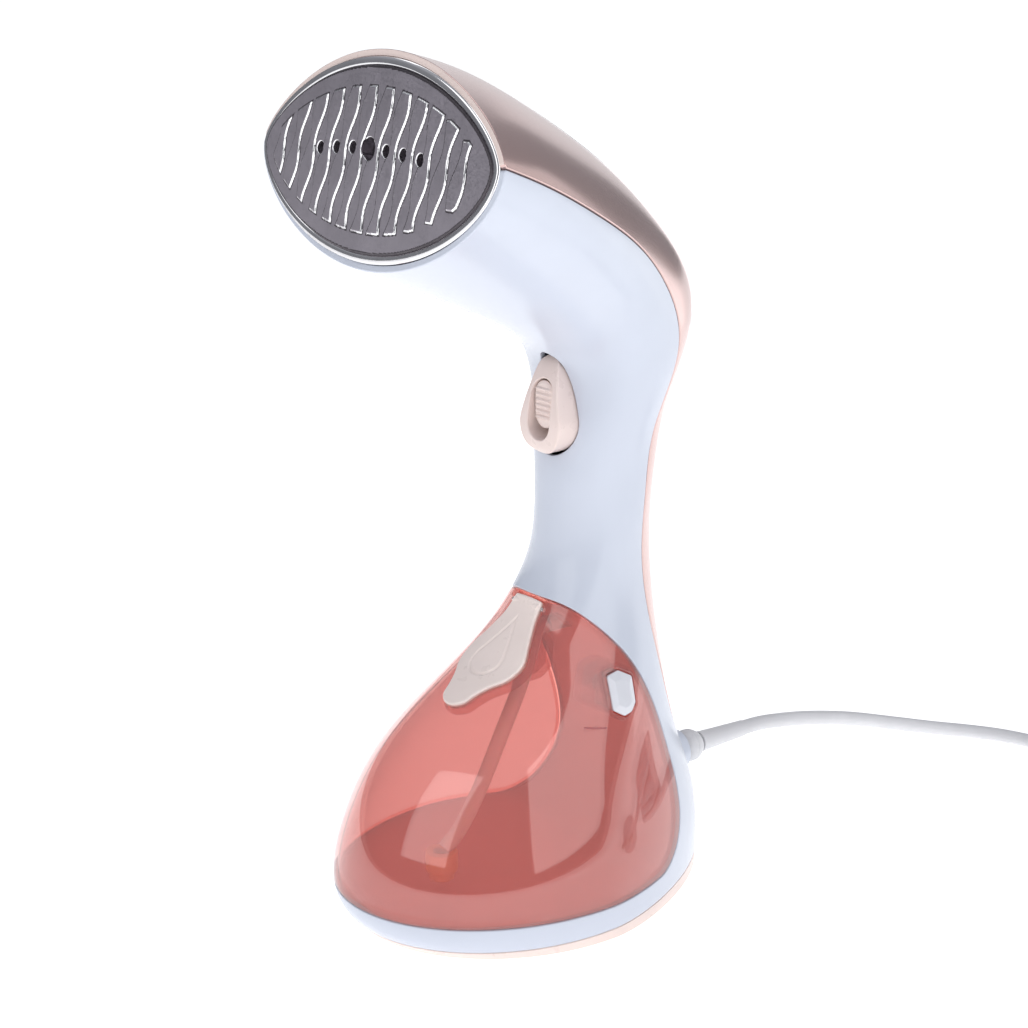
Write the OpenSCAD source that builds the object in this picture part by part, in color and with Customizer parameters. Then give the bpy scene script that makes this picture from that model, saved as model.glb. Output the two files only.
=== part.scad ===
/* [Body] */
// Width of the steam head across its tips
head_width = 127; // [120:1:132]
// Width of the handle at its slimmest
handle_width = 37; // [34:1:40]
// Widest part of the base
base_width = 104; // [98:1:110]
// Thickness of the moulded shells
wall = 2.2; // [1.8:0.1:2.6]
// Gap along the seams between shells
seam_gap = 0.4; // [0.3:0.05:0.6]
// Height of the pale base plate at the front
base_rise_front = 2.6; // [2:0.1:3.5]
// Height of the pale base plate at the back
base_rise_back = 5; // [4:0.1:6]

/* [Head] */
// How far the soleplate stands out of the head
plate_proud = 1.6; // [0.5:0.1:2.5]
// Thickness of the soleplate
plate_thick = 4; // [3:0.5:5]
// Radius of the small steam holes
steam_hole_r = 1.9; // [1:0.1:2.2]
// Radius of the middle steam hole
middle_hole_r = 3.4; // [2.5:0.1:3.6]
// Distance between steam holes
steam_pitch = 8.8; // [8:0.2:9]

/* [Controls] */
// Travel of the steam trigger
trigger_travel = 2.5; // [1:0.5:3]
// Travel of the lock slider
lock_travel = 3; // [2:0.5:3]
// Radius of the power button
button_r = 6; // [4:0.5:7]
// Travel of the latch buttons on the tank
latch_travel = 2.5; // [1.5:0.5:3]

/* [Tank] */
// Thickness of the tank's walls
tank_wall = 2; // [1.6:0.1:2.4]
// Height of the tank's underside above the table
tank_floor = 12.5; // [12:0.5:14]
// Radius of the filler hole
filler_r = 7.6; // [7.4:0.1:8]
// Radius of the hose that hangs in the tank
hose_r = 2.6; // [2:0.1:3]

/* [Cord] */
// Diameter of the mains cord
cord_d = 5.5; // [5:0.1:6]
// Radius of the swivel ball that the cord leaves through
ball_r = 6; // [5:0.5:6.5]
// Radius of the coil at the middle of its turns
coil_r = 30; // [28:1:33]
// Layers of turns in the coil
coil_layers = 4; // [3:1:5]
// Radius of the plug's pins
pin_r = 2.4; // [2:0.1:2.4]
// Length of the plug's pins
pin_length = 19; // [18:0.5:20]
// Distance between the plug's pins
pin_spacing = 19; // [18:0.5:19]

/* [Hidden] */

$fn = 48;
eps = 0.01;
big = 400;

// The body is a run of rounded sections from the soleplate, over the neck and down to the table.
// Each section reaches from the front line to the back line. Points are [y, z].
front_line = [[-58, 220], [-33, 210], [-6, 198], [13, 186], [18, 170], [15, 152], [13, 130],
  [8, 107], [-9, 87], [-30, 72], [-50, 54], [-62, 33], [-66, 12], [-59, 0]];
back_line = [[-48, 285], [-27, 279], [0, 266], [27, 250], [51, 231], [69, 206], [63, 178],
  [57, 150], [56, 124], [57, 99], [60, 74], [66, 50], [74, 26], [75, 0]];
widths = [head_width, 114, 95, 75, 62, 51, 39, handle_width, 40, 53, 76, 93, base_width, base_width - 1];
// Where each section is widest, as a share of its depth
widest = [0.52, 0.51, 0.5, 0.5, 0.5, 0.5, 0.5, 0.5, 0.5, 0.5, 0.48, 0.47, 0.46, 0.46];
// How full each section is in front and behind: 1 is a half ellipse, less is leaner
front_fullness = [0.74, 0.74, 0.78, 0.82, 0.9, 1, 1, 1, 1, 1, 1, 1, 1, 1];
back_fullness = [0.55, 0.55, 0.62, 0.72, 0.85, 1, 1, 1, 0.9, 0.85, 0.7, 0.56, 0.52, 0.5];
// Where the rear cover's seam runs, as a share of each section's depth
seam_depth = [0.54, 0.54, 0.56, 0.6, 0.65, 0.64, 0.64, 0.72, 0.8, 0.86, 0.91, 0.955, 1.02, 1.05];
last = len(front_line) - 1;
sides = 32;
ring_step = 0.5;

// Side line of the tank's back wall, from its top at the handle down to its floor. Points are [y, z].
tank_line = [[4, 105.3], [9, 104.2], [15, 99.5], [22, 92.5], [28.5, 84.5], [34.5, 74], [40.5, 60],
  [44.5, 46], [45.5, 36], [44, 26.5], [39, 18], [31, 13.2], [22, tank_floor]];

// Half outline of the filler cap, from its hinge edge to its finger tab. Points are [x, along].
cap_half = [[6.8, 1.2], [7.8, 8], [11, 16], [14, 23], [13, 30], [9.2, 35.5], [7, 40], [5.6, 44],
  [2.6, 46.3], [0, 46.8]];
cap_origin = [0, 7.5, 104.5];
cap_slope = 41.8;
cap_hinge = [3, -1.5];
cap_middle = 23;
pin_radius = 0.8;

// Side line of the trigger's front. Points are [y, z].
trigger_line = [[18, 187], [14.5, 183], [12, 176], [10.2, 168], [9.6, 161], [10.5, 155], [14, 151.5]];
slot_low = 157.5;
slot_high = 178;
trigger_back = 25;

// Outline of the latch buttons, seen from the side. Points are [y, z].
latch_outline = [[16.5, 82], [22, 82.8], [28, 79.6], [27.2, 71], [24, 68.7], [20, 68.4], [15, 71.4]];
latch_depth = 24;
latch_pocket = latch_depth - latch_travel - 4;

head_middle = (front_line[0] + back_line[0]) / 2;
head_height = norm(back_line[0] - front_line[0]);
head_tilt = -atan2(back_line[0][0] - front_line[0][0], back_line[0][1] - front_line[0][1]);
button_at = [0, 2, 265];
button_lean = -28;
gland_z = 32;
gland_y = 81;
sleeve_start = 86.4;
sleeve_end = 109;
socket_start = gland_y - 20;
pump_y = 42;
outlet_z = 93;
bracket_y = 42.05;
lever_pivot = [29.5, 175.5];

// The cord's way from its sleeve down to the table and along to its coil. Points are [x, y, z].
cord_route = [[0, 109, 32], [0, 118, 31.8], [0, 130, 30.2], [-1, 143, 27.5], [-2, 156, 24.2],
  [-4, 169, 20.3], [-5, 182, 16.2], [-5, 195, 12], [-3, 208, 8.2], [1, 220, 5.2], [8, 231, 3.4],
  [18, 239, 2.8], [30, 243.5, 2.8], [43, 244.5, 2.8], [56, 242, 2.8], [70, 237, 2.8],
  [84, 232, 2.8], [100, 229.2, 2.8]];
coil_middle = [100, 262];
// The cord's end, from the top of the coil down beside it to the plug
tail_route = [[100, 229.2, 19.6], [108, 228.8, 19.5], [116, 226, 18.5], [124.6, 219.8, 16.8],
  [131, 210.7, 14.4], [134, 199, 13], [134, 192, 13]];
plug_start = [134, 192, 13];
plug_body_length = 36;

function spline(a, b, c, d, t) =
  0.5 * (2 * b + (c - a) * t + (2 * a - 5 * b + 4 * c - d) * t * t + (3 * b - a - 3 * c + d) * t * t * t);
function along(list, u) =
  let (n = len(list), i = min(floor(u), n - 2),
       a = i == 0 ? 2 * list[0] - list[1] : list[i - 1],
       d = i == n - 2 ? 2 * list[n - 1] - list[n - 2] : list[i + 2])
  spline(a, list[i], list[i + 1], d, u - i);
function smooth(list, steps) = [for (u = [0 : 1 / steps : len(list) - 1]) along(list, u)];
function reversed(list) = [for (i = [len(list) - 1 : -1 : 0]) list[i]];

// One section of the body, drawn in by inset
function ring(u, inset) =
  let (f = along(front_line, u), b = along(back_line, u), way = (b - f) / norm(b - f),
       lean = 1.25, f1 = f + way * inset * lean, b1 = b - way * inset * lean,
       half = along(widths, u) / 2 - inset, m = along(widest, u),
       kf = along(front_fullness, u), kb = along(back_fullness, u))
  [for (i = [0 : sides - 1])
    let (s = sin(360 * i / sides), k = s >= 0 ? kb : kf,
         depth = abs(s) * (k + (1 - k) * abs(s)),
         t = s >= 0 ? m + (1 - m) * depth : m - m * depth,
         p = f1 + (b1 - f1) * t)
    [half * cos(360 * i / sides), p[0], p[1]]];
function moved(points, by) = [for (p = points) p + by];
function body_rings(inset) = [for (u = [0 : ring_step : last]) ring(u, inset)];

module loft(rings) {
  n = len(rings[0]);
  m = len(rings);
  polyhedron(
    [for (r = rings) each r],
    concat([[for (i = [n - 1 : -1 : 0]) i]],
      [for (k = [0 : m - 2]) for (i = [0 : n - 1])
        [k * n + i, k * n + (i + 1) % n, (k + 1) * n + (i + 1) % n, (k + 1) * n + i]],
      [[for (i = [0 : n - 1]) (m - 1) * n + i]]));
}

// Keeps a blended shape as a single smooth skin
module one_skin() resize([0, 0, 0]) children();

// Draws a side view, [y, z], right across the body
module across(width = big) rotate([90, 0, 90]) linear_extrude(width, center = true) children();

// Draws a front view, [x, z], from y0 back to y1
module depthwise(y0, y1) translate([0, y1, 0]) rotate([90, 0, 0]) linear_extrude(y1 - y0) children();

module body_solid(inset) loft(body_rings(inset));
module body_cavity(inset) loft(concat([moved(ring(0, inset), [0, -6, 1])], body_rings(inset),
  [moved(ring(last, inset), [0, 0, -5])]));
module body_skin(thick) difference() {
  body_solid(0);
  body_cavity(thick);
}

module tank_profile() polygon(concat(smooth(tank_line, 2), [[-100, tank_floor], [-100, 105.3]]));

// The space of the rear cover, grown by grow
module cover_space(grow) {
  seam = [for (u = [0 : ring_step : last]) along(front_line, u)
    + (along(back_line, u) - along(front_line, u)) * along(seam_depth, u)];
  intersection() {
    across() offset(delta = grow) polygon(concat([[-80, 259]], seam, [[120, 0], [120, 330], [-80, 330]]));
    depthwise(-big / 2, big / 2) offset(delta = grow) union() {
      translate([-100, 60]) square([200, 300]);
      translate([0, 60]) scale([17 / 14, 1]) circle(r = 14, $fn = 32);
    }
  }
}

// A tube along a route of points, with a level ring at each
function across_way(way) = let (side = cross(way, [0, 0, 1])) norm(side) < 0.1 ? [1, 0, 0] : side / norm(side);
function tube_ring(p, way, r, n) =
  let (side = across_way(way), up = cross(side, way))
  [for (i = [0 : n - 1]) p + r * cos(360 * i / n) * side + r * sin(360 * i / n) * up];
function unit(v) = v / norm(v);
module tube_along(points, r, n = 10) {
  m = len(points);
  loft([for (i = [0 : m - 1])
    tube_ring(points[i], unit(points[min(i + 1, m - 1)] - points[max(i - 1, 0)]), r, n)]);
}

// A coil spring's envelope along +Z, as a plain sleeve
module spring_sleeve(r, length) difference() {
  cylinder(r = r, h = length);
  translate([0, 0, -eps]) cylinder(r = r - 0.8, h = length + 1);
}

// Head frame: y is 0 on the head's opening and grows inwards, z runs up the soleplate
module on_head() translate([0, head_middle[0], head_middle[1]]) rotate([head_tilt, 0, 0]) children();
// The soleplate's outline, drawn in by inset, as [x, z] in the head frame
function plate_outline(inset) =
  [for (p = ring(0, inset)) [p[0], (p[2] - head_middle[1]) / cos(head_tilt)]];
module plate_slab(inset, y0, y1) depthwise(y0, y1) polygon(plate_outline(inset));

// Cap frame: y runs up the slope to the hinge, z points out of the tank
module on_cap() translate(cap_origin) rotate([cap_slope, 0, 0]) children();
module cap_outline() {
  half = smooth(cap_half, 3);
  polygon(concat([for (p = half) [p[0], -p[1]]], [for (p = reversed(half)) [-p[0], -p[1]]]));
}
module cap_prism(grow) on_cap() translate([0, 0, -14]) linear_extrude(40) offset(delta = grow) cap_outline();

module teardrop_prism(grow, y0, y1) depthwise(y0, y1) offset(r = grow) hull() {
  translate([0, 162.6]) circle(r = 10.3, $fn = 32);
  translate([0, 180.4]) circle(r = 5.6, $fn = 32);
}
module slot_prism(half, low, high, y0, y1) depthwise(y0, y1) {
  translate([0, low + half]) circle(r = half);
  translate([0, high - half]) circle(r = half);
  translate([-half, low + half]) square([2 * half, high - low - 2 * half]);
}

module latch_prism(grow, x0, x1) translate([(x0 + x1) / 2, 0, 0]) across(x1 - x0)
  offset(r = 1 + grow, $fn = 24) offset(delta = -1) polygon(latch_outline);

module leaf(length, half, grow) {
  r = (length * length / 4 + half * half) / (2 * half);
  intersection() {
    translate([r - half, 0]) circle(r = r + grow, $fn = 160);
    translate([half - r, 0]) circle(r = r + grow, $fn = 160);
  }
}
module leaf_prism(grow) translate([0, 8, 232]) linear_extrude(80) leaf(72, 17, grow);
module on_button() translate(button_at) rotate([button_lean, 0, 0]) children();

module below_base_seam(drop) across() polygon([[-100, -20], [100, -20], [100, base_rise_back + 0.7 - drop],
  [-100, base_rise_front - 0.7 - drop]]);

screw_posts = [[32, -30], [-32, -30], [24, 36], [-24, 36]];
foot_places = [[36, -12], [-36, -12], [0, -50], [14, 54], [-14, 54]];

module front_housing() color("white") one_skin() difference() {
  union() {
    body_skin(wall);
    intersection() {
      body_solid(wall / 2);
      across() difference() {
        offset(delta = seam_gap + wall) tank_profile();
        offset(delta = seam_gap) tank_profile();
      }
    }
    for (p = screw_posts) translate([p[0], p[1], 4.2]) cylinder(r = 3.6, h = tank_floor - 5.5, $fn = 24);
    translate([0, socket_start + 3.1, gland_z]) rotate([-90, 0, 0]) cylinder(r1 = 10, r2 = 7.4, h = 11.9);
  }
  across() offset(delta = seam_gap) tank_profile();
  cover_space(seam_gap / 2);
  below_base_seam(0);
  teardrop_prism(0.5, -20, 30);
  translate([0, 0, outlet_z]) rotate([-90, 0, 0]) cylinder(r = 6.6, h = 34);
  translate([0, gland_y - 22, gland_z]) rotate([-90, 0, 0]) cylinder(r = 5.2, h = 30);
  for (p = screw_posts) translate([p[0], p[1], -1]) cylinder(r = 1.25, h = 11, $fn = 16);
}

module rear_cover() color("rosybrown") one_skin() difference() {
  intersection() {
    body_skin(wall);
    cover_space(-seam_gap / 2);
  }
  leaf_prism(0.15);
}

module base_plate() color("mistyrose") one_skin() difference() {
  intersection() {
    body_solid(0);
    below_base_seam(0.1);
  }
  intersection() {
    body_solid(wall);
    translate([-100, -100, 2]) cube([200, 200, 20]);
  }
  for (p = screw_posts) translate([p[0], p[1], -1]) {
    cylinder(r = 1.7, h = 9, $fn = 16);
    cylinder(r = 3.2, h = 2.3, $fn = 24);
  }
  for (p = foot_places) translate([p[0], p[1], -1]) cylinder(r = 5.1, h = 2.2, $fn = 24);
}

module feet() color("dimgray") for (p = foot_places) translate([p[0], p[1], 0]) cylinder(r = 5, h = 1.15);

module pan_screw(r, length) {
  cylinder(r = r, h = length);
  difference() {
    cylinder(r = 2 * r, h = 1);
    translate([0, 0, -eps]) {
      cube([0.7, 3 * r, 1], center = true);
      cube([3 * r, 0.7, 1], center = true);
    }
  }
}
module base_screws() color("silver") for (p = screw_posts) translate([p[0], p[1], 0.2]) {
  pan_screw(1.2, 9);
}

module steam_holes(grow, y0, y1) for (i = [-3 : 3]) {
  r = (i == 0 ? middle_hole_r : steam_hole_r) + grow;
  translate([i * steam_pitch - 1, y1, 3.3 - 0.16 * i * i]) rotate([90, 0, 0]) cylinder(r = r, h = y1 - y0);
}

// The soleplate's raised ribbons lean to one side and swell and narrow along their length
ribbon_pitch = 8.7;
ribbon_width = 4.8;
ribbon_swell = 0.9;
ribbon_wave = 19.5;
ribbon_lean = 0.235;
// One side of ribbon i, at height z in the head frame
function ribbon_side(i, z, left) = ribbon_pitch * (i - 0.5) + ribbon_lean * z
  - (left ? ribbon_width : 0) + (left ? 1 : -1) * ribbon_swell * sin(360 * z / ribbon_wave);
module ribbon(i) {
  steps = 12;
  middle = ribbon_pitch * (i - 0.5) - ribbon_width / 2;
  high = 25.2 - 0.0063 * pow(middle + 6, 2);
  low = -24 + 0.006 * pow(middle + 1, 2);
  heights = [for (k = [0 : steps]) low + (high - low) * k / steps];
  polygon(concat([for (z = heights) [ribbon_side(i, z, true), z]],
    [for (z = reversed(heights)) [ribbon_side(i, z, false), z]]));
}
module steam_plate() color("dimgray") on_head() difference() {
  union() {
    plate_slab(4, -plate_proud, plate_thick - plate_proud);
    depthwise(-plate_proud - 0.5, -plate_proud + 0.2) intersection() {
      for (i = [-5 : 6]) ribbon(i);
      polygon(plate_outline(9));
    }
  }
  steam_holes(0, -10, 10);
}

module plate_rim() color("silver") on_head() difference() {
  plate_slab(3.1, -plate_proud + 0.5, plate_thick - plate_proud);
  plate_slab(4, -5, 5);
}

module head_gasket() color("gainsboro") on_head() difference() {
  plate_slab(4.4, plate_thick - plate_proud + 0.05, 3.9);
  plate_slab(6.5, -5, 8);
}

// A slab with round ends, with its length across the head
module stadium(width, height, y0, y1) depthwise(y0, y1) {
  square([width - height, height], center = true);
  for (s = [-1, 1]) translate([s * (width - height) / 2, 0]) circle(r = height / 2);
}
heater_width = 84;
heater_height = 38;
module heater_block() color("silver") on_head() difference() {
  stadium(heater_width, heater_height, plate_thick - plate_proud + 0.05, 17);
  translate([0, -4, 0]) stadium(70, 24, 10, 22);
  steam_holes(0.2, 0, 20);
}
module chamber_lid() color("lightgray") on_head() difference() {
  stadium(heater_width, heater_height, 17.05, 19);
  translate([-14, 25, -6]) rotate([90, 0, 0]) cylinder(r = 2.55, h = 10);
}
mount_x = 33;
mount_screws = [-11, 1];
module heater_mounts() color("tan") on_head() for (s = [-1, 1]) difference() {
  translate([s * mount_x - 4, 19.05, -15]) cube([8, 3, 20]);
  for (z = mount_screws) translate([s * mount_x, 30, z]) rotate([90, 0, 0]) cylinder(r = 1.6, h = 20);
}
module heater_screws() color("silver") on_head() for (s = [-1, 1]) for (z = mount_screws)
  translate([s * mount_x, 23.1, z]) rotate([90, 0, 0]) pan_screw(1.5, 4);
module thermostat() color("black") on_head() translate([14, 19.05, 6]) rotate([-90, 0, 0]) {
  cylinder(r = 8, h = 5);
  translate([0, 0, 5]) cylinder(r = 5, h = 3);
}
module thermal_fuse() color("white") on_head() {
  translate([-8, 22.2, 10]) rotate([0, 90, 0]) cylinder(r = 2, h = 12);
  translate([-14, 22.2, 10]) rotate([0, 90, 0]) cylinder(r = 0.5, h = 24 - 6);
}
module steam_nozzle() color("goldenrod") on_head() translate([-14, 16.4, -6]) rotate([-90, 0, 0]) difference() {
  union() {
    cylinder(r = 2.5, h = 6);
    translate([0, 0, 2.7]) cylinder(r = 4, h = 2.5);
    cylinder(r = 1.9, h = 13);
  }
  translate([0, 0, 2]) cylinder(r = 1, h = 20);
}

water_route = [[0, pump_y, 156], [-1.6, 41.2, 159.6], [-5.6, 39.4, 163.4], [-9.4, 37.8, 167.8], [-11.5, 37, 174],
  [-12, 36.7, 183], [-12.5, 36, 193], [-13, 33.7, 202], [-13.5, 29, 211], [-14, 22, 219], [-14, 13, 226],
  [-14, 3, 232], [-14, -8, 237.2], [-14, -16, 240.7], [-14, -24.7, 242.1]];
module water_tube() color("whitesmoke") tube_along(smooth(water_route, 2), 2.7, 8);

module pump_body() color("darkslategray") difference() {
  union() {
    translate([0, pump_y, 110]) cylinder(r = 10, h = 36);
    translate([0, pump_y, 146]) cylinder(r = 4, h = 4);
    translate([0, pump_y, 106]) cylinder(r = 4, h = 4);
    translate([0, pump_y, 98]) cylinder(r = 2, h = 8);
    translate([0, pump_y, 150]) cylinder(r = 2, h = 5.9);
    translate([-11, pump_y - 5, 114]) cube([22, 8, 26]);
  }
  translate([0, pump_y, 113]) cylinder(r = 4.1, h = 30);
  translate([0, pump_y, 90]) cylinder(r = 1, h = 70);
}
module pump_plunger() color("silver") translate([0, pump_y, 114]) difference() {
  cylinder(r = 4.02, h = 17);
  translate([0, 0, -1]) cylinder(r = 1.2, h = 30);
}
module pump_spring() color("silver") translate([0, pump_y, 131.1]) spring_sleeve(3.6, 11.8);

module inlet_tube() color("whitesmoke") {
  difference() {
    translate([0, pump_y, outlet_z - 3]) cylinder(r = 3, h = 12.9);
    translate([0, pump_y, 97.9]) cylinder(r = 2.05, h = 10);
  }
  translate([0, 38.6, outlet_z]) rotate([-90, 0, 0]) cylinder(r = 2.2, h = pump_y - 38.6);
}
module tank_socket() color("whitesmoke") translate([0, 0, outlet_z]) rotate([-90, 0, 0]) difference() {
  union() {
    translate([0, 0, 28.3]) cylinder(r = 6.2, h = 6.7);
    translate([0, 0, 35]) cylinder(r = 2, h = 3.5);
  }
  cylinder(r = 4.9, h = 33);
  cylinder(r = 1, h = 50);
}

module switch_bracket() color("whitesmoke") one_skin() {
  stop_y = trigger_back + trigger_travel + 0.3;
  intersection() {
    body_solid(wall + 0.6);
    translate([-30, bracket_y, 165]) cube([60, 2, 24]);
  }
  for (s = [-1, 1]) translate([s * 5.6 - 1.3, stop_y, 174]) cube([2.6, bracket_y - stop_y, 3]);
}
module microswitch() color("black") difference() {
  union() {
    translate([-3.2, 34, 165.5]) cube([6.4, 8, 12.5]);
    for (x = [-3.2, 1.8]) translate([x, 27.6, 172.5]) cube([1.4, 7, 5.5]);
  }
  translate([-10, lever_pivot[0], lever_pivot[1]]) rotate([0, 90, 0]) cylinder(r = 0.75, h = 20);
}
module switch_lever() color("silver") {
  translate([-1.6, 29, 157]) cube([3.2, 0.6, 18]);
  translate([-3.6, lever_pivot[0], lever_pivot[1]]) rotate([0, 90, 0]) cylinder(r = 0.7, h = 7.2);
  translate([-1.6, lever_pivot[0], lever_pivot[1]]) rotate([0, 90, 0]) cylinder(r = 1.2, h = 3.2);
}

module trigger() color("mistyrose") difference() {
  union() {
    intersection() {
      teardrop_prism(0, 0, trigger_back);
      across() polygon(concat(smooth(trigger_line, 3), [[trigger_back, 151.5], [trigger_back, 187]]));
    }
    translate([-2, trigger_back - 1, 158]) cube([4, 4.7, 4]);
  }
  slot_prism(5.6, slot_low, slot_high, -5, 19.5);
  slot_prism(3.2, slot_low + 2.4, slot_high - 2.4, 19, 23);
}
module trigger_spring() color("silver") translate([0, trigger_back + 0.1, 182.5]) rotate([-90, 0, 0])
  spring_sleeve(2.6, bracket_y - trigger_back - 0.2);
module lock_slider() color("mistyrose") {
  low = slot_low + lock_travel + 0.4;
  slot_prism(5.2, low, slot_high - 0.4, 12.2, 19.2);
  slot_prism(2.8, low + 2.4, slot_high - 2.8, 19.1, 22.6);
  for (i = [0 : 5]) translate([-3.6, 11.5, low + 3.6 + i * 1.9]) cube([7.2, 1, 0.9]);
}

module control_board() color("seagreen") translate([-15, 50, 180]) cube([30, 1.6, 34]);
module board_parts() color("black") {
  translate([-2, 41, 196]) cube([14, 8.95, 12]);
  translate([8, 45, 188]) rotate([-90, 0, 0]) cylinder(r = 4, h = 4.95);
  for (i = [0 : 3]) translate([-3 + 3 * i, 48, 182]) rotate([-90, 0, 0]) cylinder(r = 1, h = 1.95);
}
module terminal_block() color("whitesmoke") difference() {
  translate([-8, 46.8, 60]) cube([16, 7.4, 12]);
  for (x = [-5, 0, 5]) translate([x, 50.5, 59]) cylinder(r = 1.5, h = 20);
}
wire_routes = [
  [[-5, 50.5, 73], [-8, 50.5, 80], [-12, 47, 92], [-13.4, 36, 106], [-13.4, 30, 120], [-12, 28, 140],
    [-9, 30, 150], [-4, 33, 158], [-1.5, 35.5, 165.3]],
  [[5, 50.5, 73], [8, 50.5, 80], [12, 47, 92], [13.4, 36, 106], [13.4, 31, 120], [13.4, 33, 140],
    [13.6, 40, 153], [13.6, 46, 161], [13, 50, 170], [12, 50.8, 179.9]]];
module inner_wires() color("firebrick") for (r = wire_routes) tube_along(smooth(r, 2), 1, 6);

module top_panel() color("dimgray") one_skin() difference() {
  intersection() {
    body_solid(0.3);
    leaf_prism(0);
  }
  body_cavity(wall);
  on_button() translate([0, 0, -20]) cylinder(r = button_r + 0.4, h = 40);
  translate([0, 20, 200]) cylinder(r = 1.6, h = 100);
}
module power_button() color("silver") on_button() translate([0, 0, -5]) cylinder(r = button_r, h = 6.4);
module indicator_lens() color("white") translate([0, 20, 247]) cylinder(r = 1.5, h = 7.6);

module cap_hinge_line(r, length) on_cap() translate([-length / 2, -cap_hinge[0], cap_hinge[1]])
  rotate([0, 90, 0]) cylinder(r = r, h = length);

module tank_shell() color("indianred", 0.6) one_skin() difference() {
  intersection() {
    union() {
      body_skin(tank_wall);
      difference() {
        intersection() {
          body_solid(0);
          cap_prism(2.2);
        }
        body_solid(4.6);
      }
      intersection() {
        body_solid(0);
        cap_hinge_line(5, 20);
      }
      for (s = [-1, 1]) intersection() {
        body_solid(0.6);
        latch_prism(1.8, s > 0 ? latch_pocket - 2 : -60, s > 0 ? 60 : 2 - latch_pocket);
      }
    }
    across() tank_profile();
  }
  difference() {
    cap_prism(0.4);
    body_solid(2.6);
  }
  difference() {
    cap_hinge_line(3.8, 17.4);
    for (s = [-1, 1]) translate([s * 8 - 0.6, -10, 80]) cube([1.2, 40, 40]);
  }
  cap_hinge_line(pin_radius, 17);
  on_cap() translate([0, -cap_middle, -12]) cylinder(r = filler_r, h = 20);
  for (s = [-1, 1]) latch_prism(0.5, s > 0 ? latch_pocket : -60, s > 0 ? 60 : -latch_pocket);
}

module tank_back() color("indianred", 0.6) one_skin() difference() {
  intersection() {
    body_solid(tank_wall + 0.05);
    across() difference() {
      tank_profile();
      offset(delta = -tank_wall) tank_profile();
    }
  }
  for (s = [-1, 1]) latch_prism(1.9, s > 0 ? latch_pocket - 2.5 : -60, s > 0 ? 60 : 2.5 - latch_pocket);
  difference() {
    cap_prism(2.3);
    body_solid(4.65);
  }
  cap_hinge_line(5.1, 21);
  translate([0, 0, outlet_z]) rotate([-90, 0, 0]) cylinder(r = 3.1, h = 60);
}

module filler_cap() color("mistyrose") one_skin() difference() {
  union() {
    intersection() {
      difference() {
        body_solid(-0.8);
        body_solid(1.8);
      }
      cap_prism(0);
    }
    cap_hinge_line(2, 12.8);
  }
  cap_hinge_line(pin_radius + 0.06, 20);
}
module cap_plug() color("white") on_cap() translate([0, -cap_middle, -8.6]) difference() {
  cylinder(r = 6.4, h = 3.9);
  translate([0, 0, -1]) cylinder(r = 4.4, h = 3);
}
module cap_pin() color("silver") cap_hinge_line(pin_radius - 0.02, 16.4);

hose_route = [[0, 13.6, outlet_z], [0, 9.6, 91.4], [2.4, 5, 85], [5.4, -2.5, 74], [8, -12.5, 60],
  [10, -22, 46], [10, -30, 34], [9, -36, 27.6]];
module suction_hose() color("mistyrose", 0.8) tube_along(smooth(hose_route, 2), hose_r, 10);
module hose_sinker() color("peru") translate([9, -37.3, 20.5]) {
  cylinder(r = 5.4, h = 6.8);
  translate([0, 0, -3]) cylinder(r = 4.2, h = 3);
}
module tank_outlet() color("whitesmoke") translate([0, 0, outlet_z]) rotate([-90, 0, 0]) difference() {
  union() {
    translate([0, 0, 13.8]) cylinder(r = 3, h = 17.5);
    translate([0, 0, 26.6]) cylinder(r = 4, h = 1.2);
  }
  translate([0, 0, 10]) cylinder(r = 1.5, h = 30);
}
module outlet_seal() color("black") translate([0, 29.2, outlet_z]) rotate([-90, 0, 0])
  rotate_extrude() translate([3.85, 0]) circle(r = 0.8, $fn = 24);

module latch_body(s) one_skin() intersection() {
  body_solid(-0.5);
  latch_prism(0, s > 0 ? latch_depth : -60, s > 0 ? 60 : -latch_depth);
}
module latch_left() color("white") latch_body(-1);
module latch_right() color("white") latch_body(1);
module latch_spring(s) color("silver") translate([0, 21.6, 75.6]) rotate([0, s * 90, 0])
  translate([0, 0, latch_pocket + 0.1]) spring_sleeve(3, latch_depth - latch_pocket - 0.2);
module latch_spring_left() latch_spring(-1);
module latch_spring_right() latch_spring(1);

module gland_socket() color("whitesmoke") translate([0, socket_start, gland_z]) rotate([-90, 0, 0]) difference() {
  union() {
    cylinder(r = 8, h = 3);
    cylinder(r = 5.1, h = 14);
  }
  translate([0, 0, -1]) cylinder(r = 3.6, h = 30);
}
module cord_ball() color("white") translate([0, gland_y, gland_z]) rotate([-90, 0, 0]) difference() {
  union() {
    sphere(r = ball_r);
    translate([0, 0, -22]) cylinder(r = 3.5, h = 22);
    translate([0, 0, -22]) cylinder(r = 4.8, h = 1.6);
  }
  translate([0, 0, -24]) cylinder(r = 2.9, h = 44);
}
module cord_sleeve() color("white") translate([0, 0, gland_z]) rotate([-90, 0, 0]) difference() {
  union() {
    translate([0, 0, sleeve_start]) cylinder(r1 = 3.9, r2 = 3.2, h = sleeve_end - sleeve_start - 0.1);
    translate([0, 0, gland_y]) cylinder(r = 2.88, h = 6);
  }
  translate([0, 0, gland_y - 5]) cylinder(r = 2.2, h = 60);
}

module cord() color("white") tube_along(smooth(cord_route, 2), cord_d / 2, 10);
module cord_coil() color("white") translate([coil_middle[0], coil_middle[1], 0]) rotate_extrude()
  translate([coil_r - cord_d - 0.05, 0.05]) square([2 * cord_d + 0.1, coil_layers * (cord_d + 0.1)]);
module cord_tail() color("white") tube_along(smooth(tail_route, 2), cord_d / 2, 10);

// Plug frame: the cord comes in at the origin and the plug runs along +Z, with its pins side by side
module at_plug() translate(plug_start) rotate([90, 0, 0]) children();
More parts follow.
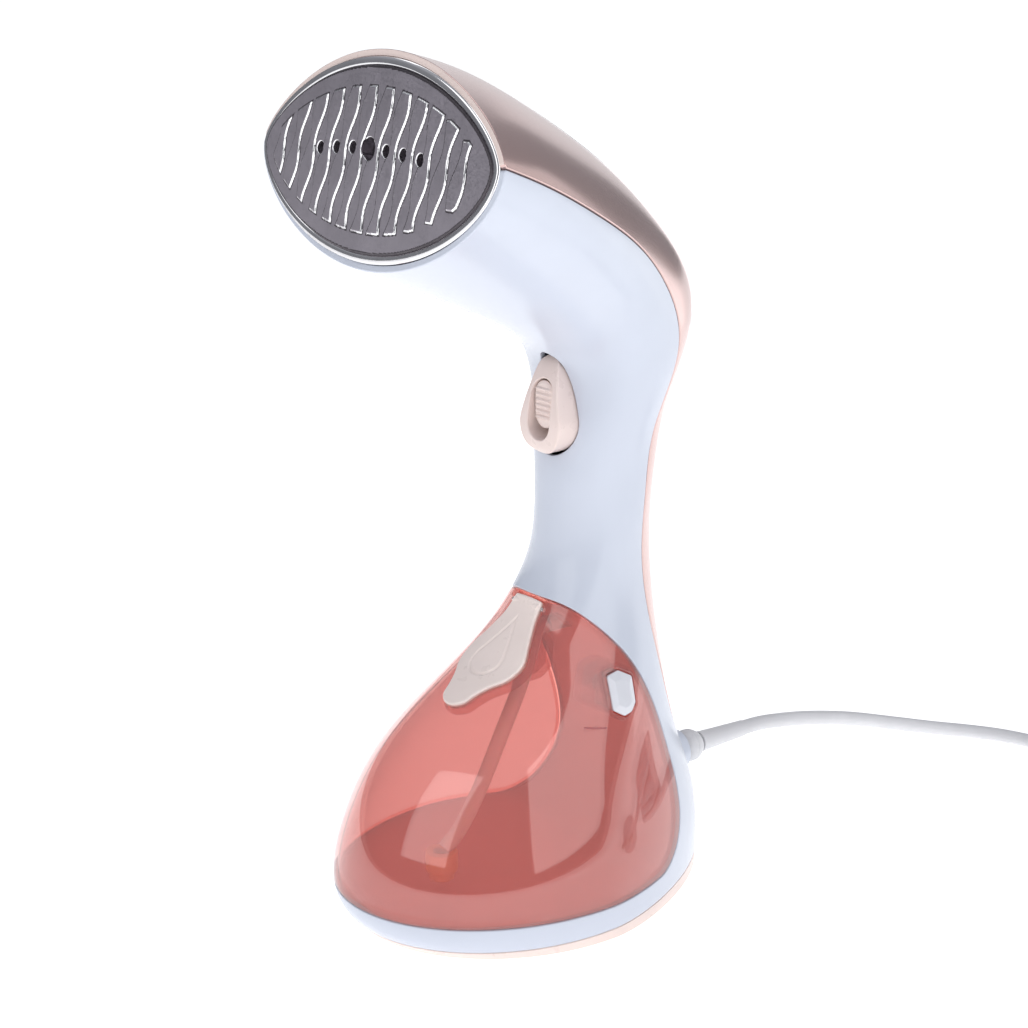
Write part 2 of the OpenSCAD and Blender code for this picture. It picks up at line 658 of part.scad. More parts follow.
// Sections of the plug as [z, half width, half height]
plug_sections = [[0, 3.5, 3.5], [8, 4.4, 4.4], [12, 6, 5.2], [17, 10.5, 8], [23, 14.8, 11.2], [28, 16.8, 12.8],
  [34, 17, 13], [plug_body_length, 16, 12]];
function plug_ring(section) = [for (i = [0 : sides - 1])
  [section[1] * cos(360 * i / sides), -section[2] * sin(360 * i / sides), section[0]]];
pin_root_r = pin_r - 0.4;
pin_root_length = 8;
module plug_body() color("white") at_plug() one_skin() difference() {
  loft([for (section = plug_sections) plug_ring(section)]);
  for (s = [-1, 1]) translate([s * pin_spacing / 2, 0, plug_body_length - pin_root_length])
    cylinder(r = pin_root_r + 0.03, h = pin_root_length + 1);
}
module plug_pins() color("silver") at_plug() for (s = [-1, 1])
  translate([s * pin_spacing / 2, 0, plug_body_length]) {
    translate([0, 0, -pin_root_length]) cylinder(r = pin_root_r, h = pin_root_length);
    cylinder(r = pin_r, h = pin_length - 1);
    translate([0, 0, pin_length - 1]) cylinder(r1 = pin_r, r2 = pin_r - 0.8, h = 1);
  }

front_housing();
rear_cover();
base_plate();
feet();
base_screws();
steam_plate();
plate_rim();
head_gasket();
heater_block();
chamber_lid();
heater_mounts();
heater_screws();
thermostat();
thermal_fuse();
steam_nozzle();
water_tube();
pump_body();
pump_plunger();
pump_spring();
inlet_tube();
tank_socket();
switch_bracket();
microswitch();
switch_lever();
trigger();
trigger_spring();
lock_slider();
control_board();
board_parts();
terminal_block();
inner_wires();
top_panel();
power_button();
indicator_lens();
tank_shell();
tank_back();
filler_cap();
cap_plug();
cap_pin();
suction_hose();
hose_sinker();
tank_outlet();
outlet_seal();
latch_left();
latch_right();
latch_spring_left();
latch_spring_right();
gland_socket();
cord_ball();
cord_sleeve();
cord();
cord_coil();
cord_tail();
plug_body();
plug_pins();
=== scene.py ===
"""Looks of the garment steamer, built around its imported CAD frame.

Shapes are worked out in millimetres, in the frame's own axes, and turned to metres when a mesh is made.
"""
import math

import bpy
import numpy as np
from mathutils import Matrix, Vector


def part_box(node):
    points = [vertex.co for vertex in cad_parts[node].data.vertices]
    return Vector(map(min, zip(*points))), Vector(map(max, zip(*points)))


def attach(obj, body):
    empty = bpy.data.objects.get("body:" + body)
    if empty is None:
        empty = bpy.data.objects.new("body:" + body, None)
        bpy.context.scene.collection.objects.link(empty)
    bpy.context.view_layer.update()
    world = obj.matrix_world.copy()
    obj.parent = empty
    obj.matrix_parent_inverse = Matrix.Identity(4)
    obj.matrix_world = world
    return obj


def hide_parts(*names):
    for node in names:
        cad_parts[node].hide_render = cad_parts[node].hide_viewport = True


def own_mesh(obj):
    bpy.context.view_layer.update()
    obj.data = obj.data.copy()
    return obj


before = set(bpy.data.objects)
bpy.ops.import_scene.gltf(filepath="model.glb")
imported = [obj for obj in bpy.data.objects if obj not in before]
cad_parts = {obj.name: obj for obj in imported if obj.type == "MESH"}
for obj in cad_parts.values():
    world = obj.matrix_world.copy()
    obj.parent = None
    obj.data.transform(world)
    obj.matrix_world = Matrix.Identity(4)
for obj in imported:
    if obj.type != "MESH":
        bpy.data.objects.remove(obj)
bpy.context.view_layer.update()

MM = 0.001

# ---------------------------------------------------------------- camera and light

VIEW_AZIMUTH = math.radians(52)
VIEW_RISE = math.radians(15.5)
VIEW_DISTANCE = 0.66
VIEW_TARGET = np.array([0, 0, 0.134])
SENSOR = 36
LENS = SENSOR * 2000 / 1028


def direction_from(azimuth, rise):
    """Unit vector from the object towards a viewer at that azimuth and rise, in radians."""
    return np.array([math.sin(azimuth) * math.cos(rise), -math.cos(azimuth) * math.cos(rise), math.sin(rise)])


def aim(obj, target):
    """Turns a camera or light so that its -Z looks at target."""
    way = obj.location - type(obj.location)(target)
    obj.rotation_euler = way.to_track_quat("Z", "Y").to_euler()


def add_camera():
    """The photo's view: from the right of the front, slightly from above."""
    data = bpy.data.cameras.new("camera")
    data.sensor_width = SENSOR
    data.lens = LENS
    data.clip_start = 0.01
    camera = bpy.data.objects.new("camera", data)
    bpy.context.scene.collection.objects.link(camera)
    camera.location = VIEW_TARGET + VIEW_DISTANCE * direction_from(VIEW_AZIMUTH, VIEW_RISE)
    aim(camera, VIEW_TARGET)
    bpy.context.scene.camera = camera


add_camera()


def add_softbox(name, azimuth, rise, distance, width, height, glow):
    """A rectangular light that looks at the object's middle. Angles in degrees, sizes in metres, and glow is
    the brightness of its face."""
    data = bpy.data.lights.new(name, "AREA")
    data.shape = "RECTANGLE"
    data.size = width
    data.size_y = height
    data.energy = glow * math.pi * width * height
    light = bpy.data.objects.new(name, data)
    bpy.context.scene.collection.objects.link(light)
    light.location = VIEW_TARGET + distance * direction_from(math.radians(azimuth), math.radians(rise))
    light.visible_camera = False
    aim(light, VIEW_TARGET)


ROOM_SIDES, ROOM_OVERHEAD = (0.42, 0.43, 0.47), (0.85, 0.87, 0.95)
ROOM_GLOW = 0.42


def add_world():
    """A pale room: dim at the sides, brighter overhead."""
    world = bpy.data.worlds.new("studio")
    bpy.context.scene.world = world
    world.use_nodes = True
    nodes = world.node_tree.nodes
    links = world.node_tree.links
    background = nodes["Background"]
    coordinates = nodes.new("ShaderNodeTexCoord")
    split = nodes.new("ShaderNodeSeparateXYZ")
    ramp = nodes.new("ShaderNodeValToRGB")
    ramp.color_ramp.elements[0].position = 0.0
    ramp.color_ramp.elements[0].color = (*ROOM_SIDES, 1)
    ramp.color_ramp.elements[1].position = 0.75
    ramp.color_ramp.elements[1].color = (*ROOM_OVERHEAD, 1)
    links.new(coordinates.outputs["Generated"], split.inputs[0])
    links.new(split.outputs["Z"], ramp.inputs[0])
    links.new(ramp.outputs[0], background.inputs["Color"])
    background.inputs["Strength"].default_value = ROOM_GLOW


add_world()
add_softbox("softbox_left", 14, 28, 0.95, 0.68, 0.80, 1.35)
add_softbox("softbox_right", 108, 21, 0.95, 0.88, 0.80, 1.3)
add_softbox("softbox_top", 230, 74, 1.0, 0.9, 0.5, 1.1)
# Two strips behind the object leave a dark band between them, which the lacquered cover mirrors
add_softbox("strip_far_left", 224, 12, 0.95, 0.52, 0.62, 0.62)
add_softbox("strip_far_right", 171, 6, 0.95, 0.50, 0.62, 0.6)
bpy.context.scene.view_settings.view_transform = "Standard"

# ---------------------------------------------------------------- numbers shared with the CAD

HEAD_WIDTH, HANDLE_WIDTH, BASE_WIDTH = 127, 37, 104
WALL = 2.2
SEAM_GAP = 0.4
FRONT_LINE = [(-58, 220), (-33, 210), (-6, 198), (13, 186), (18, 170), (15, 152), (13, 130), (8, 107),
              (-9, 87), (-30, 72), (-50, 54), (-62, 33), (-66, 12), (-59, 0)]
BACK_LINE = [(-48, 285), (-27, 279), (0, 266), (27, 250), (51, 231), (69, 206), (63, 178), (57, 150),
             (56, 124), (57, 99), (60, 74), (66, 50), (74, 26), (75, 0)]
WIDTHS = [HEAD_WIDTH, 114, 95, 75, 62, 51, 39, HANDLE_WIDTH, 40, 53, 76, 93, BASE_WIDTH, BASE_WIDTH - 1]
WIDEST = [0.52, 0.51, 0.5, 0.5, 0.5, 0.5, 0.5, 0.5, 0.5, 0.5, 0.48, 0.47, 0.46, 0.46]
FRONT_FULLNESS = [0.74, 0.74, 0.78, 0.82, 0.9, 1, 1, 1, 1, 1, 1, 1, 1, 1]
BACK_FULLNESS = [0.55, 0.55, 0.62, 0.72, 0.85, 1, 1, 1, 0.9, 0.85, 0.7, 0.56, 0.52, 0.5]
SEAM_DEPTH = [0.54, 0.54, 0.56, 0.6, 0.65, 0.64, 0.64, 0.72, 0.8, 0.86, 0.91, 0.955, 1.02, 1.05]
LAST = len(FRONT_LINE) - 1
# How much further an inset draws a section in along its depth than across it
DEPTH_INSET = 1.25
TANK_FLOOR = 12.5
TANK_LINE = [(4, 105.3), (9, 104.2), (15, 99.5), (22, 92.5), (28.5, 84.5), (34.5, 74), (40.5, 60), (44.5, 46),
             (45.5, 36), (44, 26.5), (39, 18), (31, 13.2), (22, TANK_FLOOR)]
CAP_HALF = [(6.8, 1.2), (7.8, 8), (11, 16), (14, 23), (13, 30), (9.2, 35.5), (7, 40), (5.6, 44), (2.6, 46.3),
            (0, 46.8)]
CAP_ORIGIN = np.array([0, 7.5, 104.5])
CAP_SLOPE = math.radians(41.8)
CAP_MIDDLE = 23
FILLER_R = 7.6
LATCH_OUTLINE = [(16.5, 82), (22, 82.8), (28, 79.6), (27.2, 71), (24, 68.7), (20, 68.4), (15, 71.4)]
LATCH_POCKET_X = 17.5
LATCH_DEPTH_X = 24
GLAND = np.array([0, 81, 32])
BALL_R = 6
CORD_D = 5.5

# ---------------------------------------------------------------- curves


def smooth_spline(points):
    """A curve through the points with even curvature (a natural cubic spline), as a function of u."""
    values = np.asarray(points, float)
    flat = values.reshape(len(values), -1)
    n = len(flat)
    matrix = np.eye(n)
    right = np.zeros_like(flat)
    for i in range(1, n - 1):
        matrix[i, i - 1:i + 2] = [1, 4, 1]
        right[i] = 6 * (flat[i - 1] - 2 * flat[i] + flat[i + 1])
    bend = np.linalg.solve(matrix, right)

    def at(u):
        u = np.asarray(u, float)
        i = np.clip(np.floor(u).astype(int), 0, n - 2)
        t = (u - i)[..., None]
        s = 1 - t
        found = (s * flat[i] + t * flat[i + 1]
                 + ((s ** 3 - s) * bend[i] + (t ** 3 - t) * bend[i + 1]) / 6)
        return found if values.ndim > 1 else found[..., 0]

    return at


def through(points, steps):
    """The same cut of curve as the CAD's: Catmull-Rom through the points, with steps to each gap."""
    p = np.asarray(points, float)
    p = np.vstack([2 * p[0] - p[1], p, 2 * p[-1] - p[-2]])
    found = []
    for i in range(1, len(p) - 2):
        a, b, c, d = p[i - 1:i + 3]
        for t in np.arange(steps) / steps:
            found.append(0.5 * (2 * b + (c - a) * t + (2 * a - 5 * b + 4 * c - d) * t * t
                                + (3 * b - a - 3 * c + d) * t ** 3))
    found.append(p[-2])
    return np.array(found)


front_at = smooth_spline(FRONT_LINE)
back_at = smooth_spline(BACK_LINE)
width_at = smooth_spline(WIDTHS)
widest_at = smooth_spline(WIDEST)
front_full_at = smooth_spline(FRONT_FULLNESS)
back_full_at = smooth_spline(BACK_FULLNESS)
seam_at = smooth_spline(SEAM_DEPTH)


def unit(v):
    """Vectors scaled to length 1."""
    return v / np.maximum(np.linalg.norm(v, axis=-1, keepdims=True), 1e-12)


def body_point(u, angle, inset=0.0):
    """Points of the body's skin: u runs from the soleplate to the table, angle goes round, in radians.

    An inset draws the sections in, as the CAD does it.
    """
    u, angle = np.broadcast_arrays(np.asarray(u, float), np.asarray(angle, float))
    f, b = front_at(u), back_at(u)
    if inset:
        way = unit(b - f)
        f, b = f + way * inset * DEPTH_INSET, b - way * inset * DEPTH_INSET
    m = widest_at(u)
    s = np.sin(angle)
    full = np.where(s >= 0, back_full_at(u), front_full_at(u))
    depth = np.abs(s) * (full + (1 - full) * np.abs(s))
    t = np.where(s >= 0, m + (1 - m) * depth, m - m * depth)
    side = f + (b - f) * t[..., None]
    return np.concatenate([((width_at(u) / 2 - inset) * np.cos(angle))[..., None], side], axis=-1)


def numeric_normal(point, u, v, du, dv):
    """Outward unit normals of a surface, by central differences."""
    along_u = point(u + du, v) - point(u - du, v)
    along_v = point(u, v + dv) - point(u, v - dv)
    return unit(np.cross(along_u, along_v))


def body_normal(u, angle):
    """Outward unit normals of the body's skin."""
    return numeric_normal(body_point, u, angle, 0.01, 0.01)


# ---------------------------------------------------------------- signed distances, positive inside


def polygon_distance(x, y, outline):
    """Signed distance to a closed outline, positive inside it."""
    shape = np.shape(x)
    x, y = np.ravel(x), np.ravel(y)
    a = np.asarray(outline, float)
    b = np.roll(a, -1, axis=0)
    nearest = np.full(len(x), np.inf)
    inside = np.zeros(len(x), bool)
    for (ax, ay), (bx, by) in zip(a, b):
        dx, dy = bx - ax, by - ay
        length = dx * dx + dy * dy
        if length < 1e-12:
            continue
        t = np.clip(((x - ax) * dx + (y - ay) * dy) / length, 0, 1)
        nearest = np.minimum(nearest, (x - ax - t * dx) ** 2 + (y - ay - t * dy) ** 2)
        crosses = (ay > y) != (by > y)
        if dy:
            inside ^= crosses & (x < ax + (y - ay) / dy * dx)
    return (np.sqrt(nearest) * np.where(inside, 1, -1)).reshape(shape)


tank_outline = np.vstack([through(TANK_LINE, 6), [(-120, TANK_FLOOR), (-120, 105.3)]])


def in_tank(p):
    """Distance inside the tank's outline, seen from the side."""
    return polygon_distance(p[..., 1], p[..., 2], tank_outline)


seam_u = np.linspace(0, LAST, 131)
seam_side = front_at(seam_u) + (back_at(seam_u) - front_at(seam_u)) * seam_at(seam_u)[:, None]
cover_outline = np.vstack([[(-90, 263)], seam_side, [(140, -20), (140, 340), (-90, 340)]])
# The cover's lower end is half an oval, seen from behind
COVER_END_HALF, COVER_END_HEIGHT = 18.6, 14
COVER_END_Z = 60
BASE_SEAM_Z, BASE_SEAM_RISE = 3.8, 0.019


def in_cover(p):
    """Distance inside the rear cover: behind the seam, and above its oval lower end."""
    side = polygon_distance(p[..., 1], p[..., 2], cover_outline)
    up = p[..., 2] - COVER_END_Z
    reach = np.hypot(p[..., 0] / COVER_END_HALF, up / COVER_END_HEIGHT)
    foot = np.where(up > 0, np.maximum(up, COVER_END_HEIGHT), (1 - reach) * COVER_END_HEIGHT)
    return np.minimum(side, foot)


def above_base_seam(p):
    """Height above the slightly sloping seam between the white base and the ring."""
    return p[..., 2] - (BASE_SEAM_Z + BASE_SEAM_RISE * p[..., 1])


def cap_frame(p):
    """x across the cap and distance down the slope from its hinge edge."""
    q = p - CAP_ORIGIN
    down = -(q[..., 1] * math.cos(CAP_SLOPE) + q[..., 2] * math.sin(CAP_SLOPE))
    return q[..., 0], down


cap_half = through(CAP_HALF, 5)
cap_outline = np.vstack([cap_half, cap_half[::-1][1:] * [-1, 1]])


def in_cap(p):
    """Distance inside the filler cap's outline."""
    x, down = cap_frame(p)
    return polygon_distance(x, down, cap_outline)


def rounded(outline, reach, steps=4, as_radius=False):
    """A closed outline with arcs at its corners. They start at most reach before a corner, or have reach as
    their radius."""
    a = np.asarray(outline, float)
    found = []
    for before, corner, after in zip(np.roll(a, 1, 0), a, np.roll(a, -1, 0)):
        back, ahead = before - corner, after - corner
        wanted = reach
        if as_radius:
            wanted /= math.tan(math.acos(np.clip(unit(back) @ unit(ahead), -1, 1)) / 2)
        cut = min(wanted, 0.45 * np.linalg.norm(back), 0.45 * np.linalg.norm(ahead))
        if cut < 1e-6:
            found.append(corner)
            continue
        start, end = corner + unit(back) * cut, corner + unit(ahead) * cut
        for t in np.linspace(0, 1, steps + 1):
            found.append((1 - t) ** 2 * start + 2 * t * (1 - t) * corner + t * t * end)
    return np.array(found)


latch_outline = rounded(LATCH_OUTLINE, 1.2, 6, as_radius=True)


def in_latch(p):
    """Distance inside a latch button's outline, seen from the side."""
    return polygon_distance(p[..., 1], p[..., 2], latch_outline)


# A distance for points that a border has nothing to do with
FAR = 50
# The trigger's outline from the front: a low and a high circle, and the front half that it lies in
DROP_LOW, DROP_HIGH, DROP_LOW_R, DROP_HIGH_R = 162.6, 180.4, 10.3, 5.6
DROP_Y = 30


def in_teardrop(p):
    """Distance inside the trigger's outline, the hull of its two circles."""
    x, z = np.abs(p[..., 0]), p[..., 2] - DROP_LOW
    h = DROP_HIGH - DROP_LOW
    b = (DROP_LOW_R - DROP_HIGH_R) / h
    a = math.sqrt(1 - b * b)
    k = -b * x + a * z
    found = np.where(k < 0, np.hypot(x, z) - DROP_LOW_R,
                     np.where(k > a * h, np.hypot(x, z - h) - DROP_HIGH_R, x * a + z * b - DROP_LOW_R))
    return np.where(p[..., 1] < DROP_Y, -found, -FAR)


# The inlay's leaf outline from above, on the part of the head above LEAF_Z
LEAF_LENGTH, LEAF_HALF, LEAF_Y, LEAF_Z = 72, 17, 8, 230


def in_leaf(p):
    """Distance inside the inlay's outline: where two circles overlap."""
    r = (LEAF_LENGTH ** 2 / 4 + LEAF_HALF ** 2) / (2 * LEAF_HALF)
    inside = r - np.hypot(np.abs(p[..., 0]) + r - LEAF_HALF, p[..., 1] - LEAF_Y)
    return np.where(p[..., 2] > LEAF_Z, inside, -FAR)


HEAD_MIDDLE = (np.array(FRONT_LINE[0]) + np.array(BACK_LINE[0])) / 2
HEAD_TILT = -math.atan2(BACK_LINE[0][0] - FRONT_LINE[0][0], BACK_LINE[0][1] - FRONT_LINE[0][1])
PLATE_FRONT = -1.6
PLATE_BACK = 2.4


def on_head(x, y, z):
    """Head axes into the frame's: y runs into the head, z up the soleplate."""
    x, y, z = np.broadcast_arrays(x, y, z)
    c, s = math.cos(HEAD_TILT), math.sin(HEAD_TILT)
    return np.stack([x, HEAD_MIDDLE[0] + y * c - z * s, HEAD_MIDDLE[1] + y * s + z * c], -1)


HEAD_INWARD = on_head(0, 1, 0) - on_head(0, 0, 0)


def behind_opening(p):
    """Distance behind the plane of the head's opening."""
    return (p - on_head(0, 0, 0)) @ HEAD_INWARD


# ---------------------------------------------------------------- mesh building


class Sheet:
    """Vertices with their normals, and faces."""

    def __init__(self):
        self.points = []
        self.normals = []
        self.faces = []

    def add(self, points, normals):
        """Adds vertices and returns their numbers."""
        start = len(self.points)
        self.points.extend(np.asarray(points, float))
        self.normals.extend(np.asarray(normals, float))
        return list(range(start, len(self.points)))

    def at(self, loop):
        """The points of vertices given by number."""
        return np.array([self.points[k] for k in loop])

    def join_rows(self, one, two, closed=True):
        """Quads between two rows of vertices."""
        n = len(one)
        for i in range(n if closed else n - 1):
            j = (i + 1) % n
            self.faces.append((one[j], one[i], two[i], two[j]))


# Share of a grid cell within which a point counts as lying on the border
NEAR_SHARE = 0.28


def clipped_patch(point, keep, us, vs, step, wrap=False):
    """The part of a surface where keep is positive, with its edge exactly where keep is zero.

    point takes arrays of u and v; keep takes points. The surface's normals are worked out over twice the
    step. Returns a Sheet and its edge loops.
    """
    nu, nv = len(us), len(vs)
    period = (vs[1] - vs[0]) * nv if wrap else 0
    u, v = (a.copy() for a in np.meshgrid(us, vs, indexing="ij"))
    g = keep(point(u, v))
    columns = nv if wrap else nv - 1

    def crossings(u1, v1, g1, u2, v2):
        low, high = np.zeros(len(u1)), np.ones(len(u1))
        for _ in range(22):
            middle = (low + high) / 2
            value = keep(point(u1 + (u2 - u1) * middle, v1 + (v2 - v1) * middle))
            same = (value > 0) == (g1 > 0)
            low = np.where(same, middle, low)
            high = np.where(same, high, middle)
        return (low + high) / 2

    def edge_list():
        """Grid edges whose ends lie on different sides of the border."""
        i, j = np.meshgrid(np.arange(nu), np.arange(nv), indexing="ij")
        down = [(i[:-1], j[:-1], i[1:], j[1:])]
        right = [(i[:, :-1], j[:, :-1], i[:, 1:], j[:, 1:])]
        if wrap:
            right.append((i[:, -1], j[:, -1], i[:, 0], j[:, 0]))
        parts = [np.stack([x.ravel() for x in part]) for part in down + right]
        edges = np.concatenate(parts, axis=1)
        a, b, c, d = edges
        return edges[:, g[a, b] * g[c, d] < 0]

    def cuts():
        """Edges that cross the border, the share of each where it does, the place there, and how far round
        the edge's far end has been counted on."""
        edges = edge_list()
        a, b, c, d = edges
        turn = np.where((d == 0) & (b == nv - 1) & wrap, period, 0)
        u1, v1, u2, v2 = u[a, b], v[a, b], u[c, d], v[c, d] + turn
        share = crossings(u1, v1, g[a, b], u2, v2)
        return edges, share, u1 + (u2 - u1) * share, v1 + (v2 - v1) * share, turn

    # Grid points that lie very near the border are moved onto it, so that no cell is left as a sliver
    near = {}
    for (a, b, c, d), t, new_u, new_v, turn in zip(*(x.T for x in cuts())):
        for spot, gap, shift in (((a, b), t, 0), ((c, d), 1 - t, turn)):
            if gap < NEAR_SHARE and gap < near.get(spot, (1,))[0]:
                near[spot] = (gap, new_u, new_v - shift)
    for spot, (_, new_u, new_v) in near.items():
        u[spot], v[spot], g[spot] = new_u, new_v, 0

    edges, _, cut_u, cut_v, _ = cuts()
    cut = {}
    for k in range(edges.shape[1]):
        a, b, c, d = edges[:, k]
        cut[frozenset((a * nv + b, c * nv + d))] = nu * nv + k

    i, j = np.meshgrid(np.arange(nu - 1), np.arange(columns), indexing="ij")
    right = (j + 1) % nv
    corners = np.stack([i * nv + j, (i + 1) * nv + j, (i + 1) * nv + right, i * nv + right], -1)
    corners = corners.reshape(-1, 4)
    value = g.ravel()[corners]
    whole = (value >= 0).all(1) & (value > 0).any(1)
    mixed = (value > 0).any(1) & (value < 0).any(1)
    faces = [tuple(f) for f in corners[whole]]
    for cell, values in zip(corners[mixed], value[mixed]):
        face = []
        for n in range(4):
            here, there = cell[n], cell[(n + 1) % 4]
            if values[n] >= 0:
                face.append(here)
            if values[n] * values[(n + 1) % 4] < 0:
                face.append(cut[frozenset((here, there))])
        if len(face) > 2:
            faces.append(tuple(face))

    all_u = np.concatenate([u.ravel(), cut_u])
    all_v = np.concatenate([v.ravel(), cut_v])
    used = np.unique(np.concatenate([np.asarray(f) for f in faces]))
    number = {old: new for new, old in enumerate(used)}
    sheet = Sheet()
    used_u, used_v = all_u[used], all_v[used]
    sheet.add(point(used_u, used_v), numeric_normal(point, used_u, used_v, step, step))
    sheet.faces = [tuple(number[k] for k in f) for f in faces]
    return sheet, edge_loops(sheet.faces)


def edge_loops(faces):
    """Closed loops of the edges that have a face on one side only, with the faces on their left."""
    directed = {(f[k], f[(k + 1) % len(f)]) for f in faces for k in range(len(f))}
    following = {}
    for a, b in directed:
        if (b, a) not in directed:
            following.setdefault(a, []).append(b)
    loops = []
    while following:
        start = min(following)
        loop = [start]
        while True:
            nexts = following[loop[-1]]
            after = nexts.pop()
            if not nexts:
                del following[loop[-1]]
            if after == start:
                break
            loop.append(after)
        loops.append(loop)
    return sorted(loops, key=len, reverse=True)


def rim_frame(sheet, loop):
    """Points, normals and outward side directions along an edge loop."""
    p = sheet.at(loop)
    n = np.array([sheet.normals[k] for k in loop])
    tangent = unit(np.roll(p, -1, 0) - np.roll(p, 1, 0))
    return p, n, unit(np.cross(tangent, n))


def add_rim(sheet, loop, rows):
    """Continues an edge loop over rows of (out, down, normal out, normal up), and returns the last row."""
    p, n, side = rim_frame(sheet, loop)
    before = loop
    for out, down, across, up in rows:
        row = sheet.add(p + side * out - n * down, unit(side * across + n * up))
        sheet.join_rows(before, row)
        before = row
    return before


def round_rows(radius, steps=4):
    """Rows of a rounded lip, from flush with the surface to square with it."""
    found = []
    for k in range(1, steps + 1):
        a = math.pi / 2 * k / steps
        found.append((radius * math.sin(a), radius * (1 - math.cos(a)), math.sin(a), math.cos(a)))
    return found


def lip_rows(radius, depth, steps=4):
    """A rounded lip and the wall below it, down to depth."""
    return round_rows(radius, steps) + [(radius, depth, 1, 0)]


def to_mesh(name, sheets, material, body, *replaced, slot_name=None):
    """Makes a Blender object from sheets, in metres, and ties it to its CAD body."""
    points, normals, faces = [], [], []
    for sheet in sheets:
        start = len(points)
        points.extend(sheet.points)
        normals.extend(sheet.normals)
        faces.extend(tuple(start + k for k in f) for f in sheet.faces)
    mesh = bpy.data.meshes.new(name)
    mesh.from_pydata([tuple(p * MM) for p in points], [], faces)
    mesh.update()
    mesh.shade_smooth()
    mesh.normals_split_custom_set_from_vertices([tuple(n) for n in normals])
    return finish_piece(bpy.data.objects.new(name, mesh), material, body, *replaced, slot_name=slot_name)


def finish_piece(obj, material, body, *replaced, slot_name=None):
    """Gives an object its material and CAD body, and hides the CAD nodes it takes the place of.

    slot_name is not used.
    """
    bpy.context.scene.collection.objects.link(obj)
    obj.data.materials.append(material)
    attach(obj, body)
    slot_name or material.name.partition(".")[0]
    if replaced:
        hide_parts(*replaced)
    return obj


def close_with_fan(sheet, loop, normal):
    """Fills a loop that has its faces on the outside with triangles round its middle, facing along normal."""
    p = sheet.at(loop)
    ring = sheet.add(p, np.tile(normal, (len(p), 1)))
    middle = sheet.add([p.mean(axis=0)], [normal])[0]
    n = len(ring)
    for i in range(n):
        sheet.faces.append((ring[(i + 1) % n], ring[i], middle))


def add_well(sheet, loop, lip, onto, floor, steps=4):
    """Rounds an edge loop over, runs a wall from it to where onto moves its points, and closes it there."""
    last = add_rim(sheet, loop, round_rows(lip, steps))
    base = sheet.add(onto(sheet.at(last)), [sheet.normals[k] for k in last])
    sheet.join_rows(last, base)
    close_with_fan(sheet, base, floor)


def thick_shell(point, keep, us, vs, thickness, lip, wrap=True):
    """A closed shell: a clipped surface, the same surface one thickness further in, and rounded edges."""
    sheet, loops = clipped_patch(point, lambda p: keep(p) - lip, us, vs, 0.01, wrap)
    count = len(sheet.points)
    outer, up = np.array(sheet.points), np.array(sheet.normals)
    sheet.add(outer - up * thickness, -up)
    sheet.faces += [tuple(k + count for k in f[::-1]) for f in sheet.faces]
    for loop in loops:
        last = add_rim(sheet, loop, lip_rows(lip, thickness - 0.2))
        sheet.join_rows(last, [k + count for k in loop])
    return sheet


def body_offset(distance):
    """The body's skin moved outwards by a distance."""
    def point(u, angle):
        return body_point(u, angle) + body_normal(u, angle) * distance
    return point


def lathe(profile, place, turns=64):
    """A turned solid. profile is a closed run of (radius, height), counter-clockwise with the radius to the
    right; place turns (x, y, height) arrays into points."""
    a = np.arange(turns) * 2 * math.pi / turns
    profile = np.asarray(profile, float)
    sheet = Sheet()
    along = unit(np.roll(profile, -1, 0) - np.roll(profile, 1, 0))
    rows = []
    for (r, h), (dr, dh) in zip(profile, along):
        points = place(r * np.cos(a), r * np.sin(a), np.full(turns, h))
        ahead = place((r + dh) * np.cos(a), (r + dh) * np.sin(a), np.full(turns, h - dr))
        rows.append(sheet.add(points, unit(ahead - points)))
    for k in range(len(rows)):
        sheet.join_rows(rows[(k + 1) % len(rows)], rows[k])
    return sheet


def along_y(y0, z0):
    """Places a turned solid with its axis along +Y."""
    return lambda x, y, h: np.stack([x, y0 + h, z0 - y], -1)


def loft_rows(rows):
    """A closed solid through rows of points, with flat ends."""
    sheet = Sheet()
    numbers = []
    rows = np.asarray(rows, float)
    around = np.roll(rows, -1, 1) - np.roll(rows, 1, 1)
    ahead = np.gradient(rows, axis=0)
    normals = unit(np.cross(around, ahead))
    for row, normal in zip(rows, normals):
        numbers.append(sheet.add(row, normal))
    for one, two in zip(numbers, numbers[1:]):
        sheet.join_rows(two, one)
    close_with_fan(sheet, numbers[0], unit(rows[0].mean(0) - rows[1].mean(0)))
    close_with_fan(sheet, numbers[-1][::-1], unit(rows[-1].mean(0) - rows[-2].mean(0)))
    return sheet


# ---------------------------------------------------------------- materials


